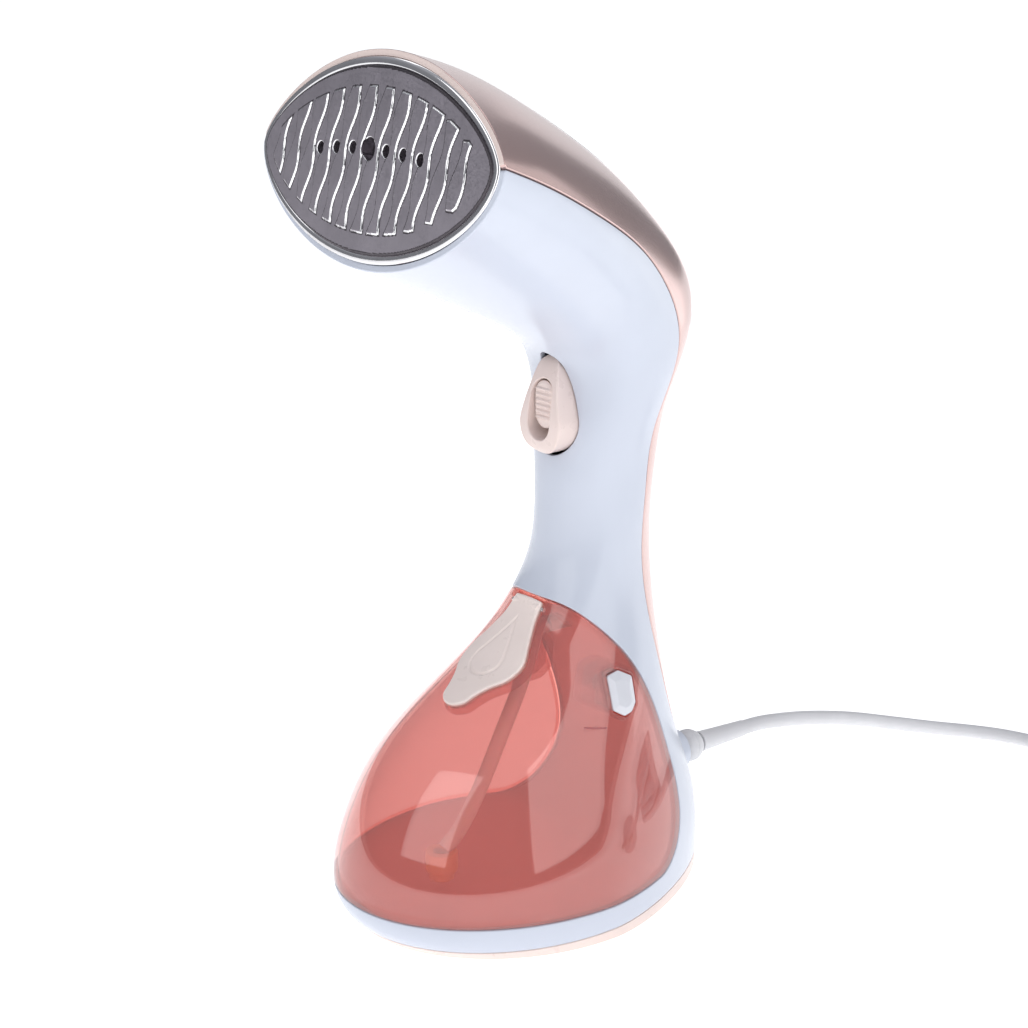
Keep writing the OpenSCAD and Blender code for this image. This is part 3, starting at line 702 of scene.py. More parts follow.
class Finish:
    """A principled material, and the textures that feed it."""

    def __init__(self, name, colour, roughness, metallic=0.0, **sockets):
        self.material = bpy.data.materials.new(name)
        self.material.use_nodes = True
        self.nodes, self.links = self.material.node_tree.nodes, self.material.node_tree.links
        self.inputs = self.nodes["Principled BSDF"].inputs
        values = {"Base_Color": (*colour, 1), "Roughness": roughness, "Metallic": metallic, **sockets}
        for socket, value in values.items():
            self.inputs[socket.replace("_", " ")].default_value = value

    def texture(self, kind, **values):
        """A texture in the object's own coordinates. Its scale is in waves per metre."""
        coordinates = self.nodes.new("ShaderNodeTexCoord")
        texture = self.nodes.new(kind)
        for socket, value in values.items():
            texture.inputs[socket].default_value = value
        self.links.new(coordinates.outputs["Object"], texture.inputs["Vector"])
        return texture

    def noise(self, scale, detail):
        """Cloudy noise; more detail adds finer waves to it."""
        return self.texture("ShaderNodeTexNoise", Scale=scale, Detail=detail).outputs["Fac"]

    def bump(self, height, strength, distance):
        """Lets a texture bump the surface."""
        bump = self.nodes.new("ShaderNodeBump")
        bump.inputs["Strength"].default_value = strength
        bump.inputs["Distance"].default_value = distance
        self.links.new(height, bump.inputs["Height"])
        self.links.new(bump.outputs["Normal"], self.inputs["Normal"])

    def vary(self, source, low, high, from_min=0.35, from_max=0.65):
        """Lets a texture move the roughness between two values."""
        spread = self.nodes.new("ShaderNodeMapRange")
        values = {"From Min": from_min, "From Max": from_max, "To Min": low, "To Max": high}
        for socket, value in values.items():
            spread.inputs[socket].default_value = value
        self.links.new(source, spread.inputs["Value"])
        self.links.new(spread.outputs["Result"], self.inputs["Roughness"])

    def tint(self, source, one, two, from_min=0.35, from_max=0.65):
        """Lets a texture move the colour between two colours."""
        ramp = self.nodes.new("ShaderNodeValToRGB")
        for stop, place, colour in zip(ramp.color_ramp.elements, (from_min, from_max), (one, two)):
            stop.position = place
            stop.color = (*colour, 1)
        self.links.new(source, ramp.inputs["Fac"])
        self.links.new(ramp.outputs["Color"], self.inputs["Base Color"])


def shade(colour, factor):
    """A colour made darker or lighter by a factor."""
    return tuple(min(1, c * factor) for c in colour)


def plastic(name, colour, roughness, grain=0.0, spread=0.04, **sockets):
    """Moulded plastic: slightly uneven gloss and tone, with a fine grain where asked."""
    finish = Finish(name, colour, roughness, **sockets)
    finish.tint(finish.noise(55, 2), shade(colour, 1 - spread), shade(colour, 1 + spread / 2))
    finish.vary(finish.noise(260, 4), roughness * 0.9, roughness * 1.15)
    finish.bump(finish.noise(2600 if grain else 380, 3), 0.25 if grain else 0.05, (grain or 0.02) * MM)
    return finish.material


def metal(name, colour, roughness, brush=0.01, **sockets):
    """Metal with a faint drift of tone and a brushed or cast grain."""
    finish = Finish(name, colour, roughness, 1.0, **sockets)
    finish.tint(finish.noise(90, 3), shade(colour, 0.93), shade(colour, 1.05))
    grain = finish.noise(1500, 5)
    finish.vary(grain, roughness * 0.8, roughness * 1.25)
    finish.bump(grain, 0.2, brush * MM)
    return finish.material


def metallic_paint(name, colour, roughness):
    """Lacquer with fine metal flakes under a clear coat."""
    finish = Finish(name, colour, roughness, 0.82, Coat_Weight=0.35, Coat_Roughness=0.12)
    flakes = finish.texture("ShaderNodeTexVoronoi", Scale=3600)
    split = finish.nodes.new("ShaderNodeSeparateColor")
    finish.links.new(flakes.outputs["Color"], split.inputs[0])
    finish.tint(split.outputs[0], shade(colour, 0.96), shade(colour, 1.04), 0, 1)
    finish.vary(split.outputs[1], roughness * 0.94, roughness * 1.06, 0, 1)
    return finish.material


def tinted_clear(name, colour, clearness, gloss, glow=0.0):
    """See-through coloured plastic. Its walls are thin, so they tint the light but don't bend it; gloss is
    the strength of the mirror-like layer on top, and glow stands in for light scattered inside."""
    return Finish(name, colour, 0.0, IOR=1.01, Transmission_Weight=clearness, Coat_Weight=gloss, Coat_IOR=1.7,
                  Coat_Roughness=0.03, Emission_Color=(1.0, 0.25, 0.18, 1), Emission_Strength=glow).material


white_shell = plastic("white_shell", (0.61, 0.65, 0.74), 0.2, spread=0.012)
mauve = metallic_paint("mauve_metallic", (0.66, 0.47, 0.44), 0.22)
blush = plastic("blush_plastic", (0.84, 0.70, 0.65), 0.3)
# Painted light: a lighter copy of the blush plastic for the filler cap, which faces up and away from the main
# lights and would otherwise look dimmer than the trigger
cap_blush_painted_light = plastic("cap_blush_painted_light", (0.96, 0.83, 0.77), 0.3)
rubber = plastic("rubber_grey", (0.09, 0.09, 0.095), 0.6, grain=0.03)
steel = metal("steel", (0.62, 0.62, 0.63), 0.25)
sole = metal("soleplate_grey", (0.40, 0.37, 0.41), 0.42, 0.02)
sole_edge = metal("soleplate_polished", (0.97, 0.96, 0.97), 0.14)
# Painted shade: a dark metal for thin strips at the ribbons' feet and round the plate, standing in for the
# shade in those creases
sole_painted_shade = metal("soleplate_painted_shade", (0.10, 0.09, 0.10), 0.5)
chrome = metal("chrome_rim", (0.84, 0.83, 0.84), 0.1)
cast = metal("cast_aluminium", (0.56, 0.57, 0.58), 0.5, 0.06)
resin = plastic("brown_resin", (0.24, 0.13, 0.06), 0.5)
black_plastic = plastic("black_plastic", (0.03, 0.03, 0.033), 0.4, grain=0.02)
white_inner = plastic("white_inner", (0.74, 0.74, 0.72), 0.4)
brass = metal("brass", (0.72, 0.50, 0.22), 0.3)
silicone = plastic("silicone_clear", (0.90, 0.74, 0.70), 0.35, Subsurface_Weight=0.2)
pump_grey = plastic("pump_grey", (0.16, 0.17, 0.19), 0.4, grain=0.02)
board_green = plastic("board_green", (0.02, 0.17, 0.07), 0.35)
wire_red = plastic("wire_red", (0.50, 0.03, 0.03), 0.4)
panel_dark = plastic("panel_dark", (0.14, 0.13, 0.14), 0.3, grain=0.01)
button_satin = metal("button_satin", (0.34, 0.32, 0.33), 0.3, 0.02)
lens_white = plastic("lens_white", (0.85, 0.86, 0.9), 0.2, Transmission_Weight=0.3)
tank_rose = tinted_clear("tank_rose", (0.92, 0.52, 0.48), 0.88, 1.0)
# Painted light: glow gives the rear wall a faint rose emission in place of light that passes through the tank
tank_rose_inner = tinted_clear("tank_rose_inner", (1.0, 0.62, 0.56), 0.9, 0.0, glow=0.055)
tank_mark = plastic("tank_mark", (0.42, 0.12, 0.12), 0.4)
cap_rubber = plastic("cap_rubber", (0.62, 0.60, 0.58), 0.6)
sinker_resin = plastic("sinker_resin", (0.95, 0.42, 0.14), 0.35)
latch_white = plastic("latch_white", (0.74, 0.75, 0.80), 0.22)
cord_white = plastic("cord_white", (0.70, 0.70, 0.72), 0.38, grain=0.015)
plug_metal = metal("plug_metal", (0.66, 0.62, 0.56), 0.22)

# CAD nodes whose shape stays, by material
KEPT = {
    rubber: ["feet", "head_gasket"],
    steel: ["base_screws", "heater_screws", "pump_plunger", "cap_pin", "switch_lever"],
    cast: ["heater_block", "chamber_lid"],
    resin: ["heater_mounts"],
    black_plastic: ["thermostat", "microswitch", "board_parts", "outlet_seal"],
    white_inner: ["thermal_fuse", "inlet_tube", "tank_socket", "switch_bracket", "terminal_block",
                  "tank_outlet", "gland_socket"],
    brass: ["steam_nozzle"],
    silicone: ["water_tube"],
    pump_grey: ["pump_body"],
    board_green: ["control_board"],
    wire_red: ["inner_wires"],
    lens_white: ["indicator_lens"],
    cap_rubber: ["cap_plug"],
    plug_metal: ["plug_pins"],
}


def dress_cad_nodes():
    """Gives the CAD nodes that stay their material and shading."""
    for material, names in KEPT.items():
        for name in names:
            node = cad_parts[name]
            node.data.materials.clear()
            node.data.materials.append(material)
            node.data.shade_smooth()
            node.data.set_sharp_from_angle(angle=math.radians(35))


dress_cad_nodes()

# ---------------------------------------------------------------- cord

CORD_ROUTE = [(0, 109, 32), (0, 118, 31.8), (0, 130, 30.2), (-1, 143, 27.5), (-2, 156, 24.2), (-4, 169, 20.3),
              (-5, 182, 16.2), (-5, 195, 12), (-3, 208, 8.2), (1, 220, 5.2), (8, 231, 3.4), (18, 239, 2.8),
              (30, 243.5, 2.8), (43, 244.5, 2.8), (56, 242, 2.8), (70, 237, 2.8), (84, 232, 2.8),
              (100, 229.2, 2.8)]
COIL_MIDDLE = np.array([100, 262])
COIL_OUTER, COIL_INNER = 32.8, 27.2
COIL_LEVELS = [2.8, 8.4, 14.0, 19.6]
COIL_TURNS = [(COIL_OUTER, 0), (COIL_INNER, 0), (COIL_INNER, 1), (COIL_OUTER, 1), (COIL_OUTER, 2),
              (COIL_INNER, 2), (COIL_INNER, 3), (COIL_OUTER, 3)]
TAIL_ROUTE = [(100, 229.2, 19.6), (108, 228.8, 19.5), (116, 226, 18.5), (124.6, 219.8, 16.8),
              (131, 210.7, 14.4), (134, 199, 13), (134, 192, 13)]
TURN_STEPS = 36


def coil_points():
    """Eight turns, each of one radius and level, that slide over to the next in their last fifth."""
    found = []
    for k, (radius, level) in enumerate(COIL_TURNS):
        radius_next, level_next = COIL_TURNS[min(k + 1, len(COIL_TURNS) - 1)]
        for i in range(TURN_STEPS):
            share = i / TURN_STEPS
            t = np.clip((share - 0.78) / 0.22, 0, 1)
            t = t * t * (3 - 2 * t)
            r = radius + (radius_next - radius) * t
            z = COIL_LEVELS[level] + (COIL_LEVELS[level_next] - COIL_LEVELS[level]) * t
            a = 2 * math.pi * share
            found.append((COIL_MIDDLE[0] + r * math.sin(a), COIL_MIDDLE[1] - r * math.cos(a), z))
    return found


def add_cord():
    """The mains cord in one curve, and its length in metres."""
    route = np.vstack([through(CORD_ROUTE, 5)[:-1], coil_points(), through(TAIL_ROUTE, 5)])
    curve = bpy.data.curves.new("mains_cord", "CURVE")
    curve.dimensions = "3D"
    curve.bevel_depth = CORD_D / 2 * MM
    curve.bevel_resolution = 5
    curve.use_fill_caps = True
    spline = curve.splines.new("POLY")
    spline.points.add(len(route) - 1)
    for point, p in zip(spline.points, route * MM):
        point.co = (*p, 1)
    spline.use_smooth = True
    length = np.linalg.norm(np.diff(route, axis=0), axis=1).sum() * MM
    cord = finish_piece(bpy.data.objects.new("mains_cord", curve), cord_white, "housing", "cord",
                        "cord_coil", "cord_tail")
    return cord, length


PLUG_START = np.array([134, 192, 13])
PLUG_SECTIONS = [(0, 3.4, 3.4), (1, 3.5, 3.5), (8, 4.4, 4.4), (12, 6, 5.2), (17, 10.5, 8), (23, 14.8, 11.2),
                 (28, 16.6, 12.6), (33, 16.9, 12.9), (35.2, 16.4, 12.4), (36, 15.2, 11.2)]
GRIP_START, GRIP_END = 19, 31


def add_plug():
    """A moulded plug body: rounded sections from the cord to its face, with grip grooves along its sides."""
    sections = through(PLUG_SECTIONS, 6)
    a = np.linspace(0, 2 * math.pi, 96, endpoint=False)
    rows = []
    for z, half_width, half_height in sections:
        square = np.clip((z - 8) / 20, 0, 1) * 0.25
        c, s = np.cos(a), np.sin(a)
        x = half_width * np.sign(c) * np.abs(c) ** (1 - square)
        y = half_height * np.sign(s) * np.abs(s) ** (1 - square)
        if GRIP_START < z < GRIP_END:
            groove = 0.35 * (0.5 + 0.5 * math.cos(2 * math.pi * z / 2.4))
            x = x * (1 - groove / half_width)
        rows.append(np.stack([PLUG_START[0] + x, np.full_like(x, PLUG_START[1] - z), PLUG_START[2] + y], -1))
    return to_mesh("plug", [loft_rows(rows)], cord_white, "housing", "plug_body")


SLEEVE_START, SLEEVE_END = 86.4, 108.9


def add_sleeve():
    """The smooth tapered strain relief that the cord leaves through."""
    share = np.linspace(0, 1, 40)
    along = SLEEVE_START + (SLEEVE_END - SLEEVE_START) * share - GLAND[1]
    outside = np.stack([3.9 - 0.9 * share ** 0.8, along], -1)
    bore = CORD_D / 2 + 0.01
    profile = rounded(np.vstack([[(bore, along[0])], outside, [(bore, along[-1])]]), 0.25)
    sheet = lathe(profile, along_y(GLAND[1], GLAND[2]))
    to_mesh("cord_strain_relief", [sheet], cord_white, "swivel", "cord_sleeve")


def add_ball():
    """The swivel ball, with a fine parting crease round it and a bore for the cord."""
    outside = [(3.5, -22), (3.5, -5.2)]
    for a in np.linspace(-58, 61, 80):
        crease = 0.22 * math.exp(-((a - 4) / 2.2) ** 2)
        r = BALL_R - crease
        outside.append((r * math.cos(math.radians(a)), r * math.sin(math.radians(a))))
    profile = [(2.9, -22)] + outside + [(2.9, 5.25)]
    sheet = lathe(profile, along_y(GLAND[1], GLAND[2]), 72)
    to_mesh("cord_swivel_ball", [sheet], cord_white, "swivel", "cord_ball")


mains_cord, cord_length = add_cord()
plug = add_plug()
add_sleeve()
add_ball()

# ---------------------------------------------------------------- shells

U_FINE = np.linspace(0, LAST, 270)
V_FINE = np.linspace(0, 2 * math.pi, 224, endpoint=False)
LIP = 0.45
GLAND_HOLE_R = 6.4
TRIGGER_GAP, INLAY_GAP = 0.35, 0.15


def housing_keep(p):
    """Where the white shell is: off the cover, tank, ring, trigger and gland hole."""
    gland = np.where(p[..., 1] > 50, np.hypot(p[..., 0], p[..., 2] - GLAND[2]) - GLAND_HOLE_R, FAR)
    return np.minimum.reduce([-in_cover(p) - SEAM_GAP / 2, -in_tank(p) - SEAM_GAP, above_base_seam(p),
                              -in_teardrop(p) - TRIGGER_GAP, gland, behind_opening(p)])


def cover_keep(p):
    """Where the lacquered cover is: behind the seam and round the inlay."""
    return np.minimum.reduce([in_cover(p) - SEAM_GAP / 2, -in_leaf(p) - INLAY_GAP, behind_opening(p)])


LOWER_BODY = 6


def find_section(y, z):
    """The section that a side-view point lies on, as u, and how deep it lies in it, from 0 to 1.

    Only for the body below the trigger: further up, the lines of the head's sections reach down here too.
    """
    y, z = np.broadcast_arrays(np.asarray(y, float), np.asarray(z, float))
    p = np.stack([y, z], -1)

    def side_of(u):
        f, b = front_at(u), back_at(u)
        way, off = b - f, p - f
        return way[..., 0] * off[..., 1] - way[..., 1] * off[..., 0]

    grid = np.linspace(LOWER_BODY, LAST, 120)
    signs = np.stack([side_of(np.full(y.shape, u)) for u in grid])
    change = (signs[:-1] > 0) != (signs[1:] > 0)
    first = np.argmax(change, axis=0)
    low, high = grid[first], grid[first + 1]
    above = np.take_along_axis(signs, first[None], 0)[0] > 0
    for _ in range(30):
        middle = (low + high) / 2
        same = (side_of(middle) > 0) == above
        low, high = np.where(same, middle, low), np.where(same, high, middle)
    f, b = front_at(low), back_at(low)
    way = b - f
    return low, ((p - f) * way).sum(-1) / (way * way).sum(-1)


def half_width(y, z):
    """Half the body's width at a side-view point."""
    u, t = find_section(y, z)
    m = widest_at(u)
    k = np.where(t >= m, back_full_at(u), front_full_at(u))
    depth = np.clip(np.where(t >= m, (t - m) / (1 - m), (m - t) / m), 0, 1)
    lean = np.maximum(1 - k, 1e-6)
    s = np.where(k > 0.999, depth, (-k + np.sqrt(k * k + 4 * lean * depth)) / (2 * lean))
    return width_at(u) / 2 * np.sqrt(np.clip(1 - s * s, 0, 1))


def offset_line(line, distance):
    """A side-view line moved to its left."""
    along = unit(np.gradient(line, axis=0))
    return line + np.stack([-along[:, 1], along[:, 0]], -1) * distance


WALL_COLUMNS = 28


def cross_wall(outer, inner, inset):
    """A wall right across the body between two side-view lines, inset from the skin, as a closed solid."""
    sheet = Sheet()
    sides = []
    for line, facing in ((outer, 1), (inner, -1)):
        along = unit(np.gradient(line, axis=0))
        normal = np.stack([np.zeros(len(line)), -along[:, 1], along[:, 0]], -1) * facing
        reach = np.maximum(half_width(line[:, 0], line[:, 1]) - inset, 0.4)
        rows = []
        for c in np.linspace(-1, 1, WALL_COLUMNS):
            points = np.stack([reach * c, line[:, 0], line[:, 1]], -1)
            rows.append(sheet.add(points, normal))
        sides.append(rows)
    front, back = sides
    for one, two in zip(front, front[1:]):
        sheet.join_rows(one, two, closed=False)
    for one, two in zip(back, back[1:]):
        sheet.join_rows(two, one, closed=False)
    sheet.join_rows(back[0], front[0], closed=False)
    sheet.join_rows(front[-1], back[-1], closed=False)
    for end, flip in ((0, False), (-1, True)):
        one, two = [r[end] for r in front], [r[end] for r in back]
        if flip:
            one, two = two, one
        sheet.join_rows(one, two, closed=False)
    return sheet


# The tank's back and floor seen from the side, with the floor's points closer together towards the front
FLOOR_START, FLOOR_END = TANK_LINE[-1][0], -64.8
floor_share = np.sin(np.linspace(0, math.pi / 2, 25))
floor_y = FLOOR_START + (FLOOR_END - FLOOR_START) * floor_share
tank_floor_line = np.stack([floor_y, np.full_like(floor_y, TANK_FLOOR)], -1)
tank_bay_line = np.vstack([through(TANK_LINE, 6)[:-1], tank_floor_line])


def bay_wall(outer, inner, inset):
    """A wall across the tank's bay, kept to the part of its line that lies inside the body."""
    one, two = offset_line(tank_bay_line, outer), offset_line(tank_bay_line, inner)
    depth = np.minimum(find_section(*one.T)[1], find_section(*two.T)[1])
    inside = depth > 0.012
    return cross_wall(one[inside], two[inside], inset)


def add_housing():
    """The white shell, with the wall of the tank's bay and the tapered boss that holds the gland."""
    skin = thick_shell(body_point, housing_keep, U_FINE, V_FINE, WALL, LIP)
    bay = bay_wall(SEAM_GAP + WALL, SEAM_GAP, 1.1)
    boss = lathe(rounded([(6.2, 64.2), (10, 64.2), (7.4, 76), (6.2, 76)], 0.9), along_y(0, GLAND[2]))
    to_mesh("housing_shell", [skin, bay, boss], white_shell, "housing", "front_housing")


def add_cover():
    """The lacquered cover. Its faces that face forward near the soleplate's opening take the pale blush
    plastic.
    """
    skin = thick_shell(body_point, cover_keep, U_FINE, V_FINE, WALL, LIP)
    cover = to_mesh("rear_cover_shell", [skin], mauve, "housing", "rear_cover")
    cover.data.materials.append(blush)
    for polygon in cover.data.polygons:
        faces_forward = float(np.dot(polygon.normal, -HEAD_INWARD)) > 0.75
        if faces_forward and behind_opening(np.array(polygon.center) / MM) < 1.5:
            polygon.material_index = 1


BUTTON_Y, BUTTON_Z = 2, 265
BUTTON_LEAN = math.radians(-28)
BUTTON_HOLE_R = 6.6


def add_inlay():
    """The dark inlay, with a hole for the power button that is round when seen along the button."""
    def keep(p):
        hole = np.hypot(p[..., 0], (p[..., 1] - BUTTON_Y) / 0.88) - BUTTON_HOLE_R
        return np.minimum(in_leaf(p), hole)

    inlay = thick_shell(body_offset(0.05), keep, U_FINE, V_FINE, WALL, 0.3)
    to_mesh("top_inlay", [inlay], panel_dark, "housing", "top_panel")


def button_place(x, y, h):
    """Turns button axes into the frame's: h stands out of the head."""
    c, s = math.cos(BUTTON_LEAN), math.sin(BUTTON_LEAN)
    return np.stack([x, BUTTON_Y + y * c - h * s, BUTTON_Z + y * s + h * c], -1)


def add_power_button():
    """The round button with its dished face."""
    dish = [(r, 0.7 - 0.9 * (1 - (r / 4.6) ** 2)) for r in np.linspace(0.02, 4.6, 10)]
    profile = [(0.02, -5), (6, -5), (6, 0.1), (5.8, 0.5), (5.3, 0.7)] + dish[::-1]
    to_mesh("power_button_cap", [lathe(profile, button_place)], button_satin, "button", "power_button")


add_housing()
add_cover()
add_inlay()
add_power_button()

# ---------------------------------------------------------------- base

BASE_SCREWS = [(32, -30), (-32, -30), (24, 36), (-24, 36)]
BASE_FEET = [(36, -12), (-36, -12), (0, -50), (14, 54), (-14, 54)]
FOOT_HOLE_R, SCREW_HOLE_R = 5.1, 3.2


def section(u, inset, turns):
    """One section of the body, drawn in by inset."""
    return body_point(u, np.arange(turns) * 2 * math.pi / turns, inset)


def add_base():
    """The pale base ring with its flat underside, recesses for the feet and countersunk screws."""
    def keep(p):
        return np.minimum(-above_base_seam(p) - 0.1, p[..., 2])

    side = thick_shell(body_point, keep, np.linspace(LAST - 0.6, LAST, 30), V_FINE, WALL, 0.35)
    foot = section(LAST, 0.3, 160)[:, :2]

    def under_keep(p):
        found = polygon_distance(p[..., 0], p[..., 1], foot)
        for x, y in BASE_FEET:
            found = np.minimum(found, np.hypot(p[..., 0] - x, p[..., 1] - y) - FOOT_HOLE_R)
        for x, y in BASE_SCREWS:
            found = np.minimum(found, np.hypot(p[..., 0] - x, p[..., 1] - y) - SCREW_HOLE_R)
        return found - 0.2

    def point(v, u):
        u, v = np.broadcast_arrays(u, v)
        return np.stack([u, v, np.zeros_like(u)], -1)

    sheet, loops = clipped_patch(point, under_keep, np.linspace(-62, 78, 141), np.linspace(-54, 54, 109), 0.1)
    outline, holes = loops[0], loops[1:]
    close_with_fan(sheet, add_rim(sheet, outline, lip_rows(0.2, 1.9, 3)), (0, 0, 1))
    for hole in holes:
        close_with_fan(sheet, add_rim(sheet, hole, lip_rows(0.2, 1.25, 3)), (0, 0, -1))
    to_mesh("base_ring", [side, sheet], blush, "housing", "base_plate")


add_base()

# ---------------------------------------------------------------- tank

U_CAP = np.linspace(6.6, 11.2, 200)
V_CAP = np.linspace(1.12 * math.pi, 1.88 * math.pi, 150)
PIECE_GAP = 0.3
TANK_WALL = 2.0


def tank_keep(p):
    """Where the tank's skin is: clear of the cap and of the latch buttons."""
    return np.minimum.reduce([in_tank(p), -in_cap(p) - PIECE_GAP, -in_latch(p) - PIECE_GAP])


def filler_distance(p):
    """Distance from the filler hole, which is round when seen square to the slope."""
    x, down = cap_frame(p)
    return np.hypot(x, down - CAP_MIDDLE) - FILLER_R


def offset_loop(outline, distance):
    """A closed outline moved outwards by distance. The outline runs clockwise or counter-clockwise."""
    a = np.asarray(outline, float)
    along = unit(np.roll(a, -1, 0) - np.roll(a, 1, 0))
    area = (a[:, 0] * np.roll(a[:, 1], -1) - a[:, 1] * np.roll(a[:, 0], -1)).sum()
    out = np.stack([along[:, 1], -along[:, 0]], -1) * (1 if area > 0 else -1)
    return a + out * distance


def latch_cup(side):
    """The pocket that a latch button slides in, open at the skin."""
    rows = []
    for grow, depth in ((0.5, None), (0.5, LATCH_POCKET_X), (1.9, LATCH_POCKET_X - 2), (1.9, None)):
        line = offset_loop(latch_outline, grow)
        x = half_width(line[:, 0], line[:, 1]) - 1.9 if depth is None else np.full(len(line), depth)
        rows.append(np.column_stack([side * x, line]))
    sheet = Sheet()
    middle = np.array([0, 21.6, 75.6])
    numbers = []
    for k, row in enumerate(rows):
        out = unit((row - middle) * [0, 1, 1]) * (-1 if k < 2 else 1)
        numbers.append(sheet.add(row, out))
    order = numbers if side < 0 else [n[::-1] for n in numbers]
    sheet.join_rows(order[1], order[0])
    sheet.join_rows(order[3], order[2])
    sheet.join_rows(order[0], order[3])
    close_with_fan(sheet, order[1][::-1], (side, 0, 0))
    close_with_fan(sheet, order[2], (-side, 0, 0))
    return sheet


def add_tank():
    """The see-through front shell with the cap's recess and the latches' cups, and its back wall."""
    skin = thick_shell(body_point, tank_keep, U_FINE, V_FINE, TANK_WALL, LIP)
    recess = thick_shell(body_offset(-2.05), lambda p: np.minimum(in_cap(p) + 1.2, filler_distance(p)),
                         U_CAP, V_CAP, TANK_WALL, 0.4, wrap=False)
    to_mesh("tank_front", [skin, recess, latch_cup(1), latch_cup(-1)], tank_rose, "tank", "tank_shell")
    to_mesh("tank_rear_wall", [bay_wall(-0.02, -TANK_WALL, 2.1)], tank_rose_inner, "tank", "tank_back",
            slot_name="tank_rose")


add_tank()

LEVEL_LINE = np.array([(2.0, 68.9), (10.0, 67.4)])


def add_level_line():
    """A fine raised line on the tank's right side, at its highest fill."""
    start, end = LEVEL_LINE
    way = end - start

    def keep(p):
        q = p[..., 1:] - start
        t = np.clip((q @ way) / (way @ way), 0, 1)
        away = np.linalg.norm(q - t[..., None] * way, axis=-1)
        return np.where(p[..., 0] > 0, 0.3 - away, -1)

    line = thick_shell(body_offset(0.1), keep, np.linspace(9.0, 10.2, 400), np.linspace(-1.2, 0.2, 300), 0.3,
                       0.08, wrap=False)
    to_mesh("tank_level_line", [line], tank_mark, "tank", slot_name="tank_rose")


add_level_line()

# The drop on the cap: its tip and the middle of its round end, down from the hinge edge
DROP_TIP, DROP_MIDDLE, DROP_R = 9.5, 26.5, 6.6
DROP_LINE_HALF, DROP_LINE_DEPTH = 0.75, 0.35
CAP_PROUD = 0.8


def drop_line(x, down):
    """Distance from a drop-shaped line on the cap."""
    circle = np.hypot(x, down - DROP_MIDDLE)
    reach = DROP_MIDDLE - DROP_TIP
    lean = math.asin(DROP_R / reach)
    side = np.abs(x) * math.cos(lean) - (down - DROP_TIP) * math.sin(lean)
    at_side = down < DROP_MIDDLE - DROP_R * math.sin(lean)
    return np.abs(np.where(at_side, side, circle - DROP_R))


def cap_skin(u, angle):
    """The cap's surface: just proud of the body, with the drop line pressed in."""
    p = body_point(u, angle)
    x, down = cap_frame(p)
    line = np.clip(1 - (drop_line(x, down) / DROP_LINE_HALF) ** 2, 0, 1)
    return p + body_normal(u, angle) * (CAP_PROUD - DROP_LINE_DEPTH * line)[..., None]


def add_cap():
    """The filler cap and the knuckle that its hinge pin runs through."""
    us, vs = np.linspace(U_CAP[0], U_CAP[-1], 430), np.linspace(V_CAP[0], V_CAP[-1], 330)
    top = thick_shell(cap_skin, in_cap, us, vs, 2.6, 0.7, wrap=False)

    def knuckle_place(x, y, h):
        c, s = math.cos(CAP_SLOPE), math.sin(CAP_SLOPE)
        up, out = -3 + x, -1.5 + y
        return np.stack([h, CAP_ORIGIN[1] + up * c - out * s, CAP_ORIGIN[2] + up * s + out * c], -1)

    knuckle = lathe(rounded([(0.87, -6.4), (2, -6.4), (2, 6.4), (0.87, 6.4)], 0.3), knuckle_place, 40)
    # The cap takes the lighter, painted-light copy of the blush plastic
    to_mesh("filler_cap_lid", [top, knuckle], cap_blush_painted_light, "cap", "filler_cap", slot_name="blush_plastic")


add_cap()


# How far the button's middle stands out of the skin, how far its border drops, and how wide that border is
LATCH_PROUD, LATCH_DROP, LATCH_BORDER = 0.5, 0.75, 2.4


def add_latch(side, name, body, node):
    """A six-sided push button: a flat middle with a sloping border, over straight walls."""
    def point(u, v):
        y, z = (u, v) if side > 0 else (v, u)
        y, z = np.broadcast_arrays(y, z)
        inside = polygon_distance(y, z, latch_outline)
        drop = LATCH_DROP * (1 - np.clip((inside - 0.3) / LATCH_BORDER, 0, 1))
        return np.stack([side * (half_width(y, z) + LATCH_PROUD - drop), y, z], -1)

    ys, zs = np.linspace(13, 30, 52), np.linspace(66, 85, 58)
    us, vs = (ys, zs) if side > 0 else (zs, ys)
    sheet, loops = clipped_patch(point, lambda p: in_latch(p) - 0.5, us, vs, 0.05)
    last = add_rim(sheet, loops[0], round_rows(0.45))
    wall = sheet.at(last)
    wall[:, 0] = side * LATCH_DEPTH_X
    base = sheet.add(wall, unit((wall - wall.mean(0)) * [0, 1, 1]))
    sheet.join_rows(last, base)
    close_with_fan(sheet, base, (-side, 0, 0))
    to_mesh(name, [sheet], latch_white, body, node)


add_latch(1, "latch_button_right_cap", "latch_button_right", "latch_right")
add_latch(-1, "latch_button_left_cap", "latch_button_left", "latch_left")

HOSE_ROUTE = [(0, 13.6, 93), (0, 9.6, 91.4), (2.4, 5, 85), (5.4, -2.5, 74), (8, -12.5, 60), (10, -22, 46),
              (10, -30, 34), (9, -36, 27.6)]


def tube(route, radius, turns=24, reference=(0, 0, 1)):
    """A round tube along a route that never runs along the reference direction, with flat ends."""
    way = unit(np.gradient(route, axis=0))
    side = unit(np.cross(way, reference))
    up = np.cross(way, side)
    a = np.arange(turns) * 2 * math.pi / turns
    c, s = np.cos(a)[:, None], np.sin(a)[:, None]
    return loft_rows([p + radius * (c * across + s * over) for p, across, over in zip(route, side, up)])


HOSE_R = 2.6
to_mesh("tank_hose", [tube(through(HOSE_ROUTE, 8), HOSE_R)], silicone, "tank", "suction_hose")


